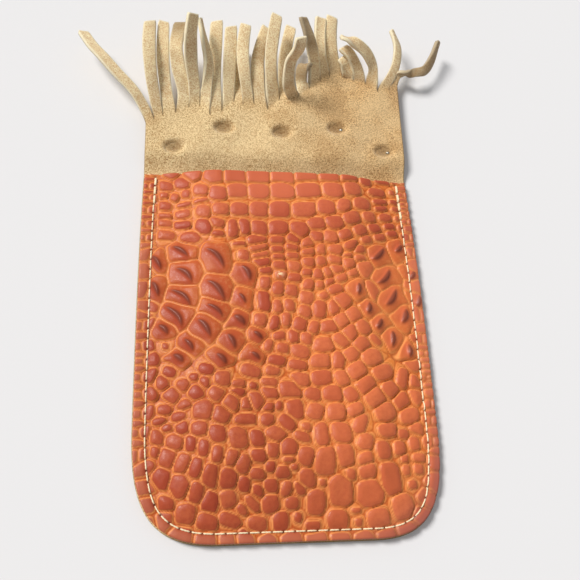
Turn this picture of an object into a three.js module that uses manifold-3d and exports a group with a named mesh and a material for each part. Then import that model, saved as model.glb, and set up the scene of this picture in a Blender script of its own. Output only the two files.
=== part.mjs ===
import * as THREE from "three";
import { mergeVertices } from "three/addons/utils/BufferGeometryUtils.js";
import Module from "manifold-3d";

const wasm = await Module();
wasm.setup();

// Sizes in millimetres. The pouch lies on its back: +Y runs from the round bottom to the fringe,
// +Z rises out of the back panel, and the origin is the middle of the back panel's underside.
const bodyWidth = 129.5;
const bodyLength = 164.5;
const mouthTaperLeft = 1.5;
const mouthTaperRight = 3;
const leftCornerWidth = 34.7;
const leftCornerLength = 46;
const rightCornerWidth = 30.4;
const rightCornerLength = 44;

// Shares that shape the outline: how high each side bends towards the mouth, and how far the
// handles of each round corner reach along the side and along the bottom.
const leftSideBend = 0.6;
const rightSideBend = 0.45;
const leftHandles = [0.65, 0.81];
const rightHandles = [0.71, 0.76];
const curveSteps = 8;

// Leather of the front panel, suede of the back, and the space between them.
const suedeThickness = 1.8;
const backMargin = 0.5;
const panelGap = 0.3;
const leatherThickness = 1.6;
const pocketBulge = 6;
const bulgeReach = 32;

// Embossed scales: their height over the grooves, a keeled scale's peak, and the grooves.
const scaleRelief = 0.7;
const keelHeight = 0.55;
const grooveHalfWidth = 0.85;

// Thread in a sunk stitch line round the sides and the bottom, front and back.
const sideMargin = 5;
const bottomMargin = 4;
const marginBlend = 30;
const seamStartDrop = 1.6;
const stitchPitch = 4.6;
const threadThickness = 0.75;
const bobbinThickness = 0.55;
const threadClearance = 0.3;
const frontGrooveDepth = 0.5;
const backGrooveDepth = 1.1;
const threadStand = 0.35;
const bobbinInset = 0.05;

// Flap past the mouth: it climbs onto the studs and is pulled down in a dimple at each one.
const flapWidth = 126;
const flapCentre = -0.5;
const leftFlapLength = 26;
const rightFlapLength = 54.5;
const flapRise = 3.7;
const flapRiseStart = 4.5;
const flapRiseLength = 8;
const flapGrid = 3.8;
const dimpleDepth = 1.4;
const dimpleInset = 0.2;
const dimpleEdgeWidth = 3.4;

// Studs on the flap's outer face: a domed cap below, two prongs clinched above. Their places are in
// percent of the flap's width from its left edge, and of its longer right side from the mouth.
const studRadius = 4.6;
const studFoot = 1.6;
const studRim = 0.4;
const domeSteps = [[0.72, 0.22], [0.94, 0.6]];
const studSides = 12;
const studSeatGap = 0.3;
const prongSpread = 3;
const prongWidth = 1.4;
const prongThickness = 0.5;
const prongFold = 1.7;
const prongClearance = 0.3;
const studPlaces = [[10.7, 26.9], [29.5, 48.5], [52, 46], [74, 52.8], [92.2, 30.6]];

// Fringe cut into the flap's end. The slits stop at places in percent of the flap, like the studs.
// A strand lies along points in percent of its reach: across from the middle of its root, along
// from the nearer slit end, and up from the back's underside. Its tip is a share of a strand's
// width, and its twist is in radians.
const fringeThickness = 1.7;
const slitWidth = 0.4;
const rootEmbed = 2.5;
const rootLead = 1;
const strandReach = 40;
const strandWidth = 5;
const strandSections = 8;
const slitEnds = [
  [3, 52], [6.3, 57.5], [11.2, 60.3], [16.1, 67.2], [20.3, 69.8], [24.2, 59.9], [28.8, 64.7],
  [33.5, 75.9], [37, 73.1], [41.3, 74.8], [46.7, 69.1], [51.3, 79.4], [54.8, 78.8], [59, 83.8],
  [63.6, 93.1], [68.3, 102.8], [72.3, 109.6], [77.6, 109.6], [82.4, 104.9], [87.2, 101.2],
  [91.5, 92.8], [96.4, 95.9],
];
const strands = [
  { tip: 0.72, twist: 1.1, line: [[-8.5, 21.9, 17.5], [-20.3, 39.4, 25], [-38, 56.9, 32.5],
    [-55, 76.9, 35], [-70, 95.4, 32.5], [-82.2, 116.4, 27.5]] },
  { tip: 0.96, twist: 0.2, line: [[-4.5, 24.5, 20], [-9.5, 53.3, 35], [-12.2, 84.3, 45],
    [-11.7, 115.8, 50]] },
  { tip: 0.96, twist: 0, line: [[-4.6, 32, 20], [-8.6, 66, 32.5], [-9.1, 89.5, 40],
    [-8.4, 114.5, 42.5]] },
  { tip: 1.08, twist: -0.3, line: [[1.5, 26.8, 20], [-6, 55.8, 35], [-8.8, 75.5, 45],
    [-3.3, 104.5, 50]] },
  { tip: 1, twist: 0.5, line: [[-0.9, 24.5, 25], [-5.1, 45.2, 45], [-5.6, 61.3, 70],
    [-3.6, 80.5, 85]] },
  { tip: 0.88, twist: 1.3, line: [[1.9, 35.5, 25], [2.6, 60.7, 40], [-2.6, 80.5, 55],
    [-8.9, 103.5, 62.5]] },
  { tip: 0.96, twist: 0, line: [[-1.5, 39.8, 20], [-1.7, 69.2, 30], [-1, 93.2, 37.5],
    [0.3, 118.8, 40]] },
  { tip: 1, twist: 0.1, line: [[0.9, 40, 22.5], [1.6, 67.5, 35], [2.6, 101.5, 45]] },
  { tip: 1.04, twist: 0, line: [[0, 36.8, 13], [0.3, 65, 15], [0.5, 92.7, 15]] },
  { tip: 0.92, twist: -0.3, line: [[-5.4, 31.5, 30], [-8.4, 58.5, 42.5], [-4.6, 90.2, 50]] },
  { tip: 1, twist: 0.2, line: [[-4, 28.7, 22.5], [-4, 60.5, 30], [1, 84, 35], [7.7, 104.8, 35]] },
  { tip: 0.96, twist: 0, line: [[-4.4, 31.7, 30], [-5.4, 57, 45], [-2.1, 83.8, 55],
    [1.9, 105.5, 60]] },
  { tip: 1, twist: 0, line: [[1.6, 38.5, 15], [4.1, 69, 25], [11.1, 101.2, 30]] },
  { tip: 0.92, twist: 0.4, line: [[-8.5, 8.7, 35], [-8.5, 23.2, 60], [-1.7, 28.2, 80],
    [-0.5, 36, 90]] },
  { tip: 0.92, twist: -0.5, line: [[-4, 22.7, 22.5], [-1, 34, 30], [8.5, 38, 27.5]] },
  { tip: 0.88, twist: 0.7, line: [[-3.4, 28.7, 35], [-13.1, 41, 60], [-22.1, 59, 75]] },
  { tip: 0.96, twist: 0, line: [[-8.4, 25.7, 32.5], [-9.1, 48.2, 42.5], [-7.4, 70.5, 47.5]] },
  { tip: 0.96, twist: 0, line: [[-8.6, 25.2, 32.5], [-9.4, 43.3, 42.5], [-7.9, 64, 47.5]] },
  { tip: 0.88, twist: 0.2, line: [[-4.7, 14.2, 25], [-11.7, 22.3, 30]] },
  { tip: 0.88, twist: 0.3, line: [[-5.6, 17.3, 25], [-14.9, 27.3, 35], [-25.6, 36.2, 40]] },
  { tip: 0.84, twist: 0.6, line: [[-0.5, 26.2, 30], [-12.5, 38, 45], [-29.5, 44, 55],
    [-45.5, 50.2, 55]] },
  { tip: 0.68, twist: 1, line: [[10.8, 21.7, 20], [17.2, 37, 25], [19.5, 59.7, 30],
    [14.5, 86, 32.5]] },
  { tip: 0.68, twist: 1.2, line: [[7.6, 20, 17.5], [22.4, 22, 22.5], [40.4, 27.7, 22.5],
    [54.9, 45.8, 25], [63.9, 71.5, 27.5]] },
];

// Middles of the embossed scales, row by row from the mouth down to the round bottom.
const plainScales = [
  [-61, 83], [-51, 83], [-41.5, 81], [-32, 79.5], [-21.5, 79.5], [-11, 79.5], [0.5, 79.5],
  [12, 81], [23.5, 82], [33.5, 82.5], [59, 83], [-61, 76], [-21.5, 71.5], [-11.5, 72], [0, 72],
  [12.5, 73], [61, 75.5], [-61, 70], [-61, 64], [-11, 62.5], [-1.5, 62.5], [10.5, 63],
  [61.5, 70.5], [61.5, 66], [-61.5, 56.5], [-11.5, 53], [-2.5, 52.5], [7, 52.5], [61.5, 62],
  [-62, 50], [60.5, 53], [16.5, 36.5], [23, 37.5], [15, 31], [18.5, 32], [23, 34], [29, 36.5],
  [-12.5, 46.5], [-11.5, 43], [-10.5, 40], [-10, 37], [-2.5, 46.5], [-2.5, 42.5], [-2.5, 38.5],
  [-2.5, 35], [4, 47.5], [3.5, 44], [3.5, 39.5], [3.5, 35], [10.5, 46], [11, 41.5], [11, 37],
  [57, -24], [49, -26], [62.5, -34], [61, -43.5], [61, -60], [62, -51], [62.5, -27], [62, -15],
  [58, -10], [62.5, -4], [56, -67.5], [54, -73], [-49, -23], [-39.5, -22.5], [-31, -23],
  [-25, -27], [-14.5, -26], [-59, -52], [-58.5, -60], [-58, -67], [-51, -72], [-58, -74],
  [-44.5, -77.5], [-34.5, -80.5], [-26.5, -81], [-19.5, -81.5], [-11, -82], [-1, -82], [9, -82],
  [19, -82], [29, -82], [38, -81], [47, -79], [-61.5, 42.5], [-61.5, 33.5], [-62, 24.5],
  [-61.5, 16.5], [-61.5, 8.5], [-61.5, -1.5], [-60, -7.5], [-60, -14.5], [-59.5, -22], [-60, -30],
  [-61, -38], [-62, -46], [63, 46.5], [62.5, 38.5], [36.5, 34.5], [62, 29.5], [40, 24.5],
  [61.5, 14], [63, 2], [57.5, -17.5], [-50, -13], [-53, -17.5], [-44, -19], [-40, -16],
  [-35, -13], [-35.5, -18.5], [-28, -16.5], [-16.5, -14], [-21.5, -19], [-22, -23],
  [-15.5, -20.5], [-7, -13.5], [-8.5, -18.5], [-9, -23], [-5.5, -9.5], [-3, -4], [-8.5, -2.5],
  [-3.5, 1.5], [-12, 9], [-10, 18], [-9, 26.5], [-9, 32.5], [-2.5, 30.5], [-3.5, 23.5], [-4, 15],
  [-6, 7.5], [-0.5, 9], [4, 29], [2.5, 22.5], [1, 15.5], [9.5, 19.5], [10, 25.5], [10, 32],
  [7.5, 13], [5.5, 7.5], [2.5, 1], [8, 1], [11.5, 5.5], [14.5, 14], [18.5, 6], [15.5, -2.5],
  [5, -5], [3.5, -11], [13.5, -9.5], [21.5, -9.5], [5, -17.5], [14, -17], [22.5, -17], [0, -22],
  [9.5, -23.5], [17.5, -24], [25.5, -24], [33, -20], [29.5, -13.5], [27, -6.5], [23.5, 0],
  [28, 3.5], [24, 9.5], [20.5, 15], [25.5, 18.5], [29.5, 12], [33.5, 6], [32.5, -2], [39.5, 0.5],
  [36.5, -7.5], [41.5, -14], [50.5, -16.5], [44, -21], [36.5, -25.5], [22.5, 23.5], [17, 20.5],
  [20, 27], [15, 25.5], [25, 30], [30.5, 32], [34, 75], [24, 74], [41.5, 80.5], [50.5, 81.5],
  [46.5, 75.5], [54.5, 76], [47.5, 70.5], [55.5, 71], [48, 67], [56, 67], [38, 68], [29, 66],
  [20.5, 64.5], [32.5, 59.5], [41.5, 61.5], [50, 62], [57, 62.5], [24, 57], [15, 55.5],
  [36, 53.5], [43.5, 56], [51.5, 57.5], [59, 57.5], [52, 53.5], [28, 51], [21.5, 49.5], [15, 49],
  [38.5, 49], [45.5, 51.5], [31, 45.5], [23.5, 43], [17, 42], [35, 43.5], [35, 39], [29, 40],
  [-46, 77], [-53.5, 75.5], [-49.5, 69.5], [-44.5, 71], [-38, 72], [-37.5, 66.5], [-45, 65.5],
  [-54.5, 70.5], [-54, 65], [-36, 61], [-45.5, 60.5], [-46, 55], [-53.5, 60], [-54, 56],
  [-53.5, 50.5], [-42.5, 48.5], [-36.5, 53], [-30.5, 55.5], [-30, 50], [-23.5, 52], [-18, 53],
  [-28.5, 62], [-19.5, 62], [-30, 70.5], [-20, 44.5], [-18.5, 39], [-52, -1.5], [10, -31],
  [19, -32], [27, -30.5], [41, -31.5], [52.5, -33], [12.5, -40.5], [21, -40], [29.5, -36.5],
  [41.5, -39], [55.5, -38], [48.5, -40.5], [30.5, -44], [38.5, -47.5], [46, -46], [53, -44.5],
  [21.5, -49.5], [30.5, -50.5], [48, -51], [55, -50.5], [13.5, -52], [31.5, -56], [24.5, -56.5],
  [48.5, -55.5], [54.5, -55], [12.5, -59.5], [41, -59], [50.5, -61.5], [19.5, -63.5], [32, -65],
  [9, -67], [18.5, -75], [26, -71], [27, -75.5], [35.5, -75], [46, -70], [8, -76], [-18.5, -34.5],
  [-10, -34.5], [-1.5, -36], [1.5, -30], [-9.5, -29], [-5.5, -29], [-19, -27.5], [6.5, -37.5],
  [4, -41.5], [-6.5, -40], [-22, -42], [-14.5, -42], [-8, -46.5], [-1.5, -46], [-1.5, -51],
  [1, -54], [5.5, -49.5], [-25, -49.5], [-20, -52.5], [-14, -49], [-9, -53], [-14.5, -56],
  [-4, -56], [6, -58], [-26, -57.5], [-20, -60], [-14.5, -62.5], [-9, -60.5], [-3, -62], [3, -62],
  [-26.5, -65], [-20.5, -69.5], [-16.5, -67.5], [-9.5, -67], [-0.5, -68], [2, -73], [-25.5, -73],
  [-14.5, -75], [-5, -74.5], [-52, -29], [-44.5, -27], [-36.5, -30], [-29, -32], [-46.5, -32],
  [-53.5, -34], [-51, -36.5], [-44.5, -36.5], [-37.5, -37.5], [-30.5, -39.5], [-55, -40.5],
  [-48, -42], [-41.5, -43.5], [-36.5, -45.5], [-31, -47.5], [-56, -46.5], [-51, -48.5],
  [-44.5, -51], [-39, -53], [-33, -56], [-52.5, -56.5], [-45.5, -59.5], [-39, -63],
  [-33.5, -66.5], [-51, -66.5], [-43, -70.5], [-34.5, -74],
];
const keeledScales = [
  [-46, 42.5], [-30.5, 38.5], [-44.5, 31.5], [-30, 23.5], [-56.5, 37.5], [-57, 25], [-45, 21],
  [-31, 14], [-48, 12.5], [-35.5, 5.5], [-53, 6], [-21, 9], [-42, -1.5], [-24, -0.5], [-29, -8],
  [-15, -7.5], [-47, -7], [-17.5, 30.5], [-19, 18.5], [-13, 2], [44.5, 42], [55, 46], [46.5, 31],
  [33, 23.5], [49.5, 21], [37, 15], [54.5, 12.5], [41.5, 8], [48, 2], [55, -3.5], [60.5, 33.5],
  [62.5, 20.5],
];

const weldDistance = 1e-4;
const halfWidth = bodyWidth / 2;
const halfLength = bodyLength / 2;
const frontInside = suedeThickness + panelGap;
const frontBase = frontInside + leatherThickness;
const studHeight = flapRise - dimpleDepth - studSeatGap;
const flapTop = halfLength + rightFlapLength;

// From 0 to 1 with level ends.
const smooth = (t) => {
  const c = Math.min(Math.max(t, 0), 1);
  return c * c * (3 - 2 * c);
};

function solidOf(geometry) {
  const bare = new THREE.BufferGeometry();
  bare.setAttribute("position", geometry.getAttribute("position"));
  bare.setIndex(geometry.index);
  const merged = mergeVertices(bare, weldDistance);
  return solidFrom(merged.getAttribute("position").array, merged.index.array);
}

function solidFrom(coordinates, triangles) {
  const mesh = new wasm.Mesh({
    numProp: 3,
    vertProperties: new Float32Array(coordinates),
    triVerts: new Uint32Array(triangles),
  });
  return new wasm.Manifold(mesh);
}

function piece(name, solid, material) {
  const { vertProperties, triVerts } = solid.getMesh();
  const geometry = new THREE.BufferGeometry();
  geometry.setAttribute("position", new THREE.BufferAttribute(vertProperties, 3));
  geometry.setIndex(new THREE.BufferAttribute(triVerts, 1));
  geometry.computeVertexNormals();
  const mesh = new THREE.Mesh(geometry, material);
  mesh.name = name;
  return mesh;
}

function block(width, length, height, x, y, z) {
  return solidOf(new THREE.BoxGeometry(width, length, height).translate(x, y, z));
}

// Upright prism of an outline between two heights.
function prism(points, low, high) {
  const extruded = new THREE.ExtrudeGeometry(new THREE.Shape(points), {
    depth: high - low,
    bevelEnabled: false,
  });
  return solidOf(extruded.translate(0, 0, low));
}

// Closed bar of rectangular section: each station has a centre, a side vector and an up vector,
// both from the centre to the bar's face.
function bar(stations) {
  const coordinates = [];
  const triangles = [];
  const signs = [[-1, -1], [1, -1], [1, 1], [-1, 1]];
  for (const { centre, side, up } of stations) {
    for (const [a, b] of signs) {
      const corner = centre.clone().addScaledVector(side, a).addScaledVector(up, b);
      coordinates.push(corner.x, corner.y, corner.z);
    }
  }
  const last = (stations.length - 1) * 4;
  triangles.push(0, 1, 2, 0, 2, 3, last, last + 2, last + 1, last, last + 3, last + 2);
  for (let i = 0; i < last; i += 4) {
    for (let k = 0; k < 4; k++) {
      const a = i + k;
      const b = i + ((k + 1) % 4);
      triangles.push(a, a + 4, b + 4, a, b + 4, b);
    }
  }
  return solidFrom(coordinates, triangles);
}

// Solid between two height functions over a grid of x and y lines.
function sheet(xs, ys, low, high) {
  const coordinates = [];
  const triangles = [];
  for (const height of [high, low]) {
    for (const y of ys) {
      for (const x of xs) {
        coordinates.push(x, y, height(x, y));
      }
    }
  }
  const columns = xs.length;
  const rows = ys.length;
  const under = columns * rows;
  const quad = (a, b, c, d) => triangles.push(a, b, c, a, c, d);
  for (let j = 0; j < rows - 1; j++) {
    for (let i = 0; i < columns - 1; i++) {
      const a = j * columns + i;
      quad(a, a + 1, a + columns + 1, a + columns);
      quad(under + a, under + a + columns, under + a + columns + 1, under + a + 1);
    }
  }
  const end = (rows - 1) * columns;
  for (let i = 0; i < columns - 1; i++) {
    quad(i, under + i, under + i + 1, i + 1);
    quad(end + i, end + i + 1, under + end + i + 1, under + end + i);
  }
  for (let j = 0; j < rows - 1; j++) {
    const a = j * columns;
    const b = a + columns - 1;
    quad(a, a + columns, under + a + columns, under + a);
    quad(b, under + b, under + b + columns, b + columns);
  }
  return solidFrom(coordinates, triangles);
}

// Evenly spaced values from one end to the other, at most a step apart.
function spaced(from, to, step) {
  const count = Math.ceil((to - from) / step);
  return Array.from({ length: count + 1 }, (_, i) => from + ((to - from) * i) / count);
}

// Left side, round bottom and right side of the front panel, from mouth to mouth.
function panelEdge() {
  const edge = new THREE.Path();
  const foot = -halfLength;
  const left = -halfWidth;
  const leftTop = foot + leftCornerLength;
  const leftEnd = left + leftCornerWidth;
  const rightTop = foot + rightCornerLength;
  const rightEnd = halfWidth - rightCornerWidth;
  edge.moveTo(left + mouthTaperLeft, halfLength);
  edge.quadraticCurveTo(left, halfLength * leftSideBend, left, leftTop);
  edge.bezierCurveTo(
    left, leftTop - leftCornerLength * leftHandles[0],
    leftEnd - leftCornerWidth * leftHandles[1], foot,
    leftEnd, foot,
  );
  edge.lineTo(rightEnd, foot);
  edge.bezierCurveTo(
    rightEnd + rightCornerWidth * rightHandles[1], foot,
    halfWidth, rightTop - rightCornerLength * rightHandles[0],
    halfWidth, rightTop,
  );
  const mouthRight = halfWidth - mouthTaperRight;
  edge.quadraticCurveTo(halfWidth, halfLength * rightSideBend, mouthRight, halfLength);
  return edge.getPoints(curveSteps);
}

// Moves each point of an open path to its left by a distance that depends on the point.
function shifted(points, distance) {
  return points.map((p, i) => {
    const before = points[Math.max(i - 1, 0)];
    const after = points[Math.min(i + 1, points.length - 1)];
    const along = after.clone().sub(before).normalize();
    return new THREE.Vector2(p.x - along.y * distance(p), p.y + along.x * distance(p));
  });
}

const frontEdge = panelEdge();
const backEdge = shifted(frontEdge, () => -backMargin);

// The seam keeps a wider margin at the sides than at the bottom, and starts just below the mouth.
const seamMargin = (p) =>
  bottomMargin + (sideMargin - bottomMargin) * smooth((p.y + halfLength) / marginBlend);
const seamPoints = shifted(frontEdge, seamMargin).map((p) => {
  return new THREE.Vector3(p.x, Math.min(p.y, halfLength - seamStartDrop), 0);
});
const seam = new THREE.CatmullRomCurve3(seamPoints, false, "centripetal");
const stitchCount = Math.round(seam.getLength() / stitchPitch);

// Distance to the seam from a place that it surrounds, and zero in the margin outside it.
const fence = seamPoints.map((p, i) => {
  return [p.x, i === 0 || i === seamPoints.length - 1 ? flapTop : p.y];
});
function insideSeam(x, y) {
  let nearest = Infinity;
  let inside = false;
  for (let i = 0; i < fence.length; i++) {
    const [ax, ay] = fence[i];
    const [bx, by] = fence[(i + 1) % fence.length];
    if (ay > y !== by > y && x < ax + ((y - ay) / (by - ay)) * (bx - ax)) inside = !inside;
    if (i === fence.length - 1) break;
    const run = (bx - ax) ** 2 + (by - ay) ** 2;
    const t = Math.min(Math.max(((x - ax) * (bx - ax) + (y - ay) * (by - ay)) / run, 0), 1);
    nearest = Math.min(nearest, Math.hypot(x - ax - t * (bx - ax), y - ay - t * (by - ay)));
  }
  return inside ? nearest : 0;
}

// The front panel swells off the back from the seam inwards, and its mouth stays open.
const bulge = (x, y) => pocketBulge * smooth(insideSeam(x, y) / bulgeReach);

// The part of a polygon that is nearer to one place than to another.
function nearerPart(polygon, here, there) {
  const nx = there[0] - here[0];
  const ny = there[1] - here[1];
  const middle = (there[0] ** 2 + there[1] ** 2 - here[0] ** 2 - here[1] ** 2) / 2;
  const side = (p) => p[0] * nx + p[1] * ny - middle;
  const kept = [];
  polygon.forEach((p, i) => {
    const q = polygon[(i + 1) % polygon.length];
    const a = side(p);
    const b = side(q);
    if (a <= 0) kept.push(p);
    if (a < 0 !== b < 0 && a !== 0 && b !== 0) {
      const t = a / (a - b);
      kept.push([p[0] + (q[0] - p[0]) * t, p[1] + (q[1] - p[1]) * t]);
    }
  });
  return kept;
}

// A slab whose top is the embossed hide: every scale is a raised plateau with sloping sides in the
// cell of places that are nearest to its middle, and the grooves run along the cells' borders.
function embossedSlab(floor) {
  const places = [...plainScales, ...keeledScales];
  const rim = 8;
  const right = halfWidth + rim;
  const top = halfLength + rim;
  const coordinates = [];
  const triangles = [];
  const corners = [];
  const put = (x, y, z) => coordinates.push(x, y, z) / 3 - 1;
  const sameCorner = 0.12;
  const groovePoint = (p) => {
    const known = corners.find((c) => Math.hypot(c.x - p[0], c.y - p[1]) < sameCorner);
    if (known) return known;
    const made = { x: p[0], y: p[1] };
    made.top = put(p[0], p[1], frontBase + bulge(p[0], p[1]));
    made.under = put(p[0], p[1], floor);
    corners.push(made);
    return made;
  };
  const walls = new Map();
  places.forEach((here, index) => {
    let cell = [[-right, -top], [right, -top], [right, top], [-right, top]];
    for (const there of places) {
      if (there !== here) cell = nearerPart(cell, here, there);
    }
    const ring = cell.map(groovePoint).filter((c, i, all) => c !== all[(i + 1) % all.length]);
    const cx = ring.reduce((sum, c) => sum + c.x, 0) / ring.length;
    const cy = ring.reduce((sum, c) => sum + c.y, 0) / ring.length;
    const nearestSide = Math.min(...ring.map((c, i) => {
      const d = ring[(i + 1) % ring.length];
      const run = Math.hypot(d.x - c.x, d.y - c.y);
      return Math.abs((d.x - c.x) * (cy - c.y) - (d.y - c.y) * (cx - c.x)) / run;
    }));
    const shrink = 1 - grooveHalfWidth / Math.max(nearestSide, grooveHalfWidth * 2);
    const keeled = index >= plainScales.length;
    const peak = keeled ? put(cx, cy, frontBase + bulge(cx, cy) + scaleRelief + keelHeight) : -1;
    const base = put(cx, cy, floor);
    const plateau = ring.map((c) => {
      const x = cx + (c.x - cx) * shrink;
      const y = cy + (c.y - cy) * shrink;
      return put(x, y, frontBase + bulge(x, y) + scaleRelief);
    });
    ring.forEach((c, i) => {
      const k = (i + 1) % ring.length;
      const d = ring[k];
      triangles.push(c.top, d.top, plateau[k], c.top, plateau[k], plateau[i]);
      if (keeled) triangles.push(plateau[i], plateau[k], peak);
      if (!keeled && i > 0 && k > 0) triangles.push(plateau[0], plateau[i], plateau[k]);
      triangles.push(d.under, c.under, base);
      const back = d.top + "," + c.top;
      if (!walls.delete(back)) walls.set(c.top + "," + d.top, [c, d]);
    });
  });
  for (const [c, d] of walls.values()) {
    triangles.push(c.top, c.under, d.under, c.top, d.under, d.top);
  }
  return solidFrom(coordinates, triangles);
}

// A groove or a thread along the seam: heights are given for each share of a stitch.
function alongSeam(halfSide, halfHeight, shares, heightAt) {
  const stations = [];
  for (let stitch = 0; stitch < stitchCount; stitch++) {
    for (const share of shares) stations.push([stitch + share, heightAt(share)]);
  }
  stations.push([stitchCount, heightAt(0)]);
  const up = new THREE.Vector3(0, 0, halfHeight);
  return bar(stations.map(([place, height]) => {
    const centre = seam.getPointAt(place / stitchCount).setZ(height);
    const along = seam.getTangentAt(place / stitchCount);
    const side = new THREE.Vector3(along.y, -along.x, 0).setLength(halfSide);
    return { centre, side, up };
  }));
}

// Front panel: relief, cut to the outline, hollowed below, with the stitch line pressed in.
const over = 4;
const hollowGrid = 8;
const frontGrooveFloor = frontBase - frontGrooveDepth;
const frontOutline = prism(frontEdge, frontInside - over, frontBase + pocketBulge + over);
const hollow = sheet(
  spaced(-halfWidth - over, halfWidth + over, hollowGrid),
  spaced(-halfLength - over, halfLength + over, hollowGrid),
  () => -over,
  (x, y) => frontInside + bulge(x, y),
);
const frontGrooveHalf = (over + frontGrooveDepth) / 2;
const frontGroove = alongSeam(
  threadThickness / 2 + threadClearance,
  frontGrooveHalf,
  [0],
  () => frontGrooveFloor + frontGrooveHalf,
);
const front = embossedSlab(-over / 2).intersect(frontOutline).subtract(hollow).subtract(frontGroove);

// Back and flap: one hide, flat under the pocket, raised and dimpled past the mouth.
const flapLeft = flapCentre - flapWidth / 2;
const onFlap = ([across, along]) => {
  return [flapLeft + (across / 100) * flapWidth, halfLength + (along / 100) * rightFlapLength];
};
const studMiddles = studPlaces.map(onFlap);
const dimpleFloor = studRadius - dimpleInset;
const flapHeight = (x, y) => {
  const rise = flapRise * smooth((y - halfLength - flapRiseStart) / flapRiseLength);
  const holds = studMiddles.map(([sx, sy]) => {
    return 1 - smooth((Math.hypot(x - sx, y - sy) - dimpleFloor) / dimpleEdgeWidth);
  });
  const hold = Math.max(...holds);
  return rise * (1 - hold) + (flapRise - dimpleDepth) * hold;
};
const flapSheet = sheet(
  spaced(-halfWidth - over, halfWidth + over, flapGrid),
  [halfLength, ...spaced(halfLength + flapRiseStart, flapTop + over, flapGrid)],
  flapHeight,
  (x, y) => flapHeight(x, y) + suedeThickness,
);
const slitPath = [
  [flapLeft, halfLength + leftFlapLength],
  ...slitEnds.map(onFlap),
  [flapLeft + flapWidth, halfLength + rightFlapLength],
];
const mouthEnds = [backEdge[0], backEdge[backEdge.length - 1]];
const flapEnd = slitPath.map(([x, y]) => new THREE.Vector2(x, y)).reverse();
const flapOutline = [...mouthEnds, ...flapEnd];
const pastMouth = mouthEnds.map((p) => new THREE.Vector2(p.x, p.y + flapRiseStart)).reverse();
const backOutline = [...backEdge, ...pastMouth];
const backGroove = alongSeam(
  bobbinThickness / 2 + threadClearance,
  backGrooveDepth,
  [0],
  () => 0,
);

// One strand: it leaves the flap level and square, then follows its line while it turns over.
function strand({ tip, twist, line }, from, to) {
  const rootWidth = to[0] - from[0] - slitWidth;
  const rootX = (from[0] + to[0]) / 2;
  const rootY = Math.min(from[1], to[1]);
  const step = strandReach / 100;
  const path = [rootY - rootEmbed, rootY + rootLead].map((y) => {
    return new THREE.Vector3(rootX, y, flapHeight(rootX, y) + suedeThickness / 2);
  });
  for (const [across, along, height] of line) {
    path.push(new THREE.Vector3(rootX + across * step, rootY + along * step, height * step));
  }
  const curve = new THREE.CatmullRomCurve3(path, false, "centripetal");
  let side = new THREE.Vector3(1, 0, 0);
  const stations = [];
  for (let i = 0; i <= strandSections; i++) {
    const share = i / strandSections;
    const along = curve.getTangentAt(share);
    side = side.addScaledVector(along, -side.dot(along)).normalize();
    const turned = side.clone().applyAxisAngle(along, twist * smooth(share));
    const up = new THREE.Vector3().crossVectors(turned, along).setLength(fringeThickness / 2);
    const width = rootWidth + (tip * strandWidth - rootWidth) * smooth(share * 2);
    stations.push({ centre: curve.getPointAt(share), side: turned.setLength(width / 2), up });
  }
  return bar(stations);
}

const flap = flapSheet.intersect(prism(flapOutline, -over, flapRise + over));
let hide = prism(backOutline, 0, suedeThickness).subtract(backGroove).add(flap);
strands.forEach((shape, i) => {
  hide = hide.add(strand(shape, slitPath[i], slitPath[i + 1]));
});

// Studs: the hide is slit for each prong, with room round the blade.
const prongTop = flapRise - dimpleDepth + suedeThickness + studSeatGap + prongThickness;
const prongBlade = prongTop - studHeight + studRim;
const capProfile = [
  [0, 0],
  [studFoot, 0],
  ...domeSteps.map(([out, up]) => [studRadius * out, studHeight * up]),
  [studRadius, studHeight - studRim],
  [studRadius, studHeight],
  [0, studHeight],
].map(([r, z]) => new THREE.Vector2(r, z));
const studs = studMiddles.map(([x, y]) => {
  const cap = new THREE.LatheGeometry(capProfile, studSides);
  let stud = solidOf(cap.rotateX(Math.PI / 2).translate(x, y, 0));
  for (const hand of [-1, 1]) {
    const bladeX = x + hand * prongSpread;
    const slotWidth = prongThickness + 2 * prongClearance;
    const slotLength = prongWidth + 2 * prongClearance;
    hide = hide.subtract(block(slotWidth, slotLength, 4 * over, bladeX, y, 0));
    const blade = block(prongThickness, prongWidth, prongBlade, bladeX, y, prongTop - prongBlade / 2);
    const foldX = bladeX - (hand * prongFold) / 2;
    const fold = block(prongFold, prongWidth, prongThickness, foldX, y, prongTop - prongThickness / 2);
    stud = stud.add(blade).add(fold);
  }
  return stud;
});

// Threads: the needle thread dips in its groove at each needle hole, and the bobbin thread lies
// straight in the back's groove, just inside the suede's face.
const half = threadThickness / 2;
const needleLow = frontGrooveFloor + threadClearance + half;
const needleHigh = frontBase + scaleRelief + threadStand - half;
const needleThread = alongSeam(half, half, [0, 0.5], (share) => (share ? needleHigh : needleLow));
const bobbinHalf = bobbinThickness / 2;
const bobbinThread = alongSeam(bobbinHalf, bobbinHalf, [0], () => bobbinInset + bobbinHalf);

const leather = new THREE.MeshStandardMaterial({ color: 0xb4553a, roughness: 0.42, metalness: 0 });
const suede = new THREE.MeshStandardMaterial({ color: 0xcdaa78, roughness: 0.95, metalness: 0 });
const cream = new THREE.MeshStandardMaterial({ color: 0xf0ddb8, roughness: 0.6, metalness: 0 });
const metal = new THREE.MeshStandardMaterial({ color: 0xb9b2a2, roughness: 0.35, metalness: 1 });

const pouch = new THREE.Group();
pouch.add(piece("front_panel", front, leather.clone()));
pouch.add(piece("back_and_fringed_flap", hide, suede.clone()));
pouch.add(piece("needle_thread", needleThread, cream.clone()));
pouch.add(piece("bobbin_thread", bobbinThread, cream.clone()));
studs.forEach((stud, i) => pouch.add(piece("flap_stud_" + (i + 1), stud, metal.clone())));

export default pouch;
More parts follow.
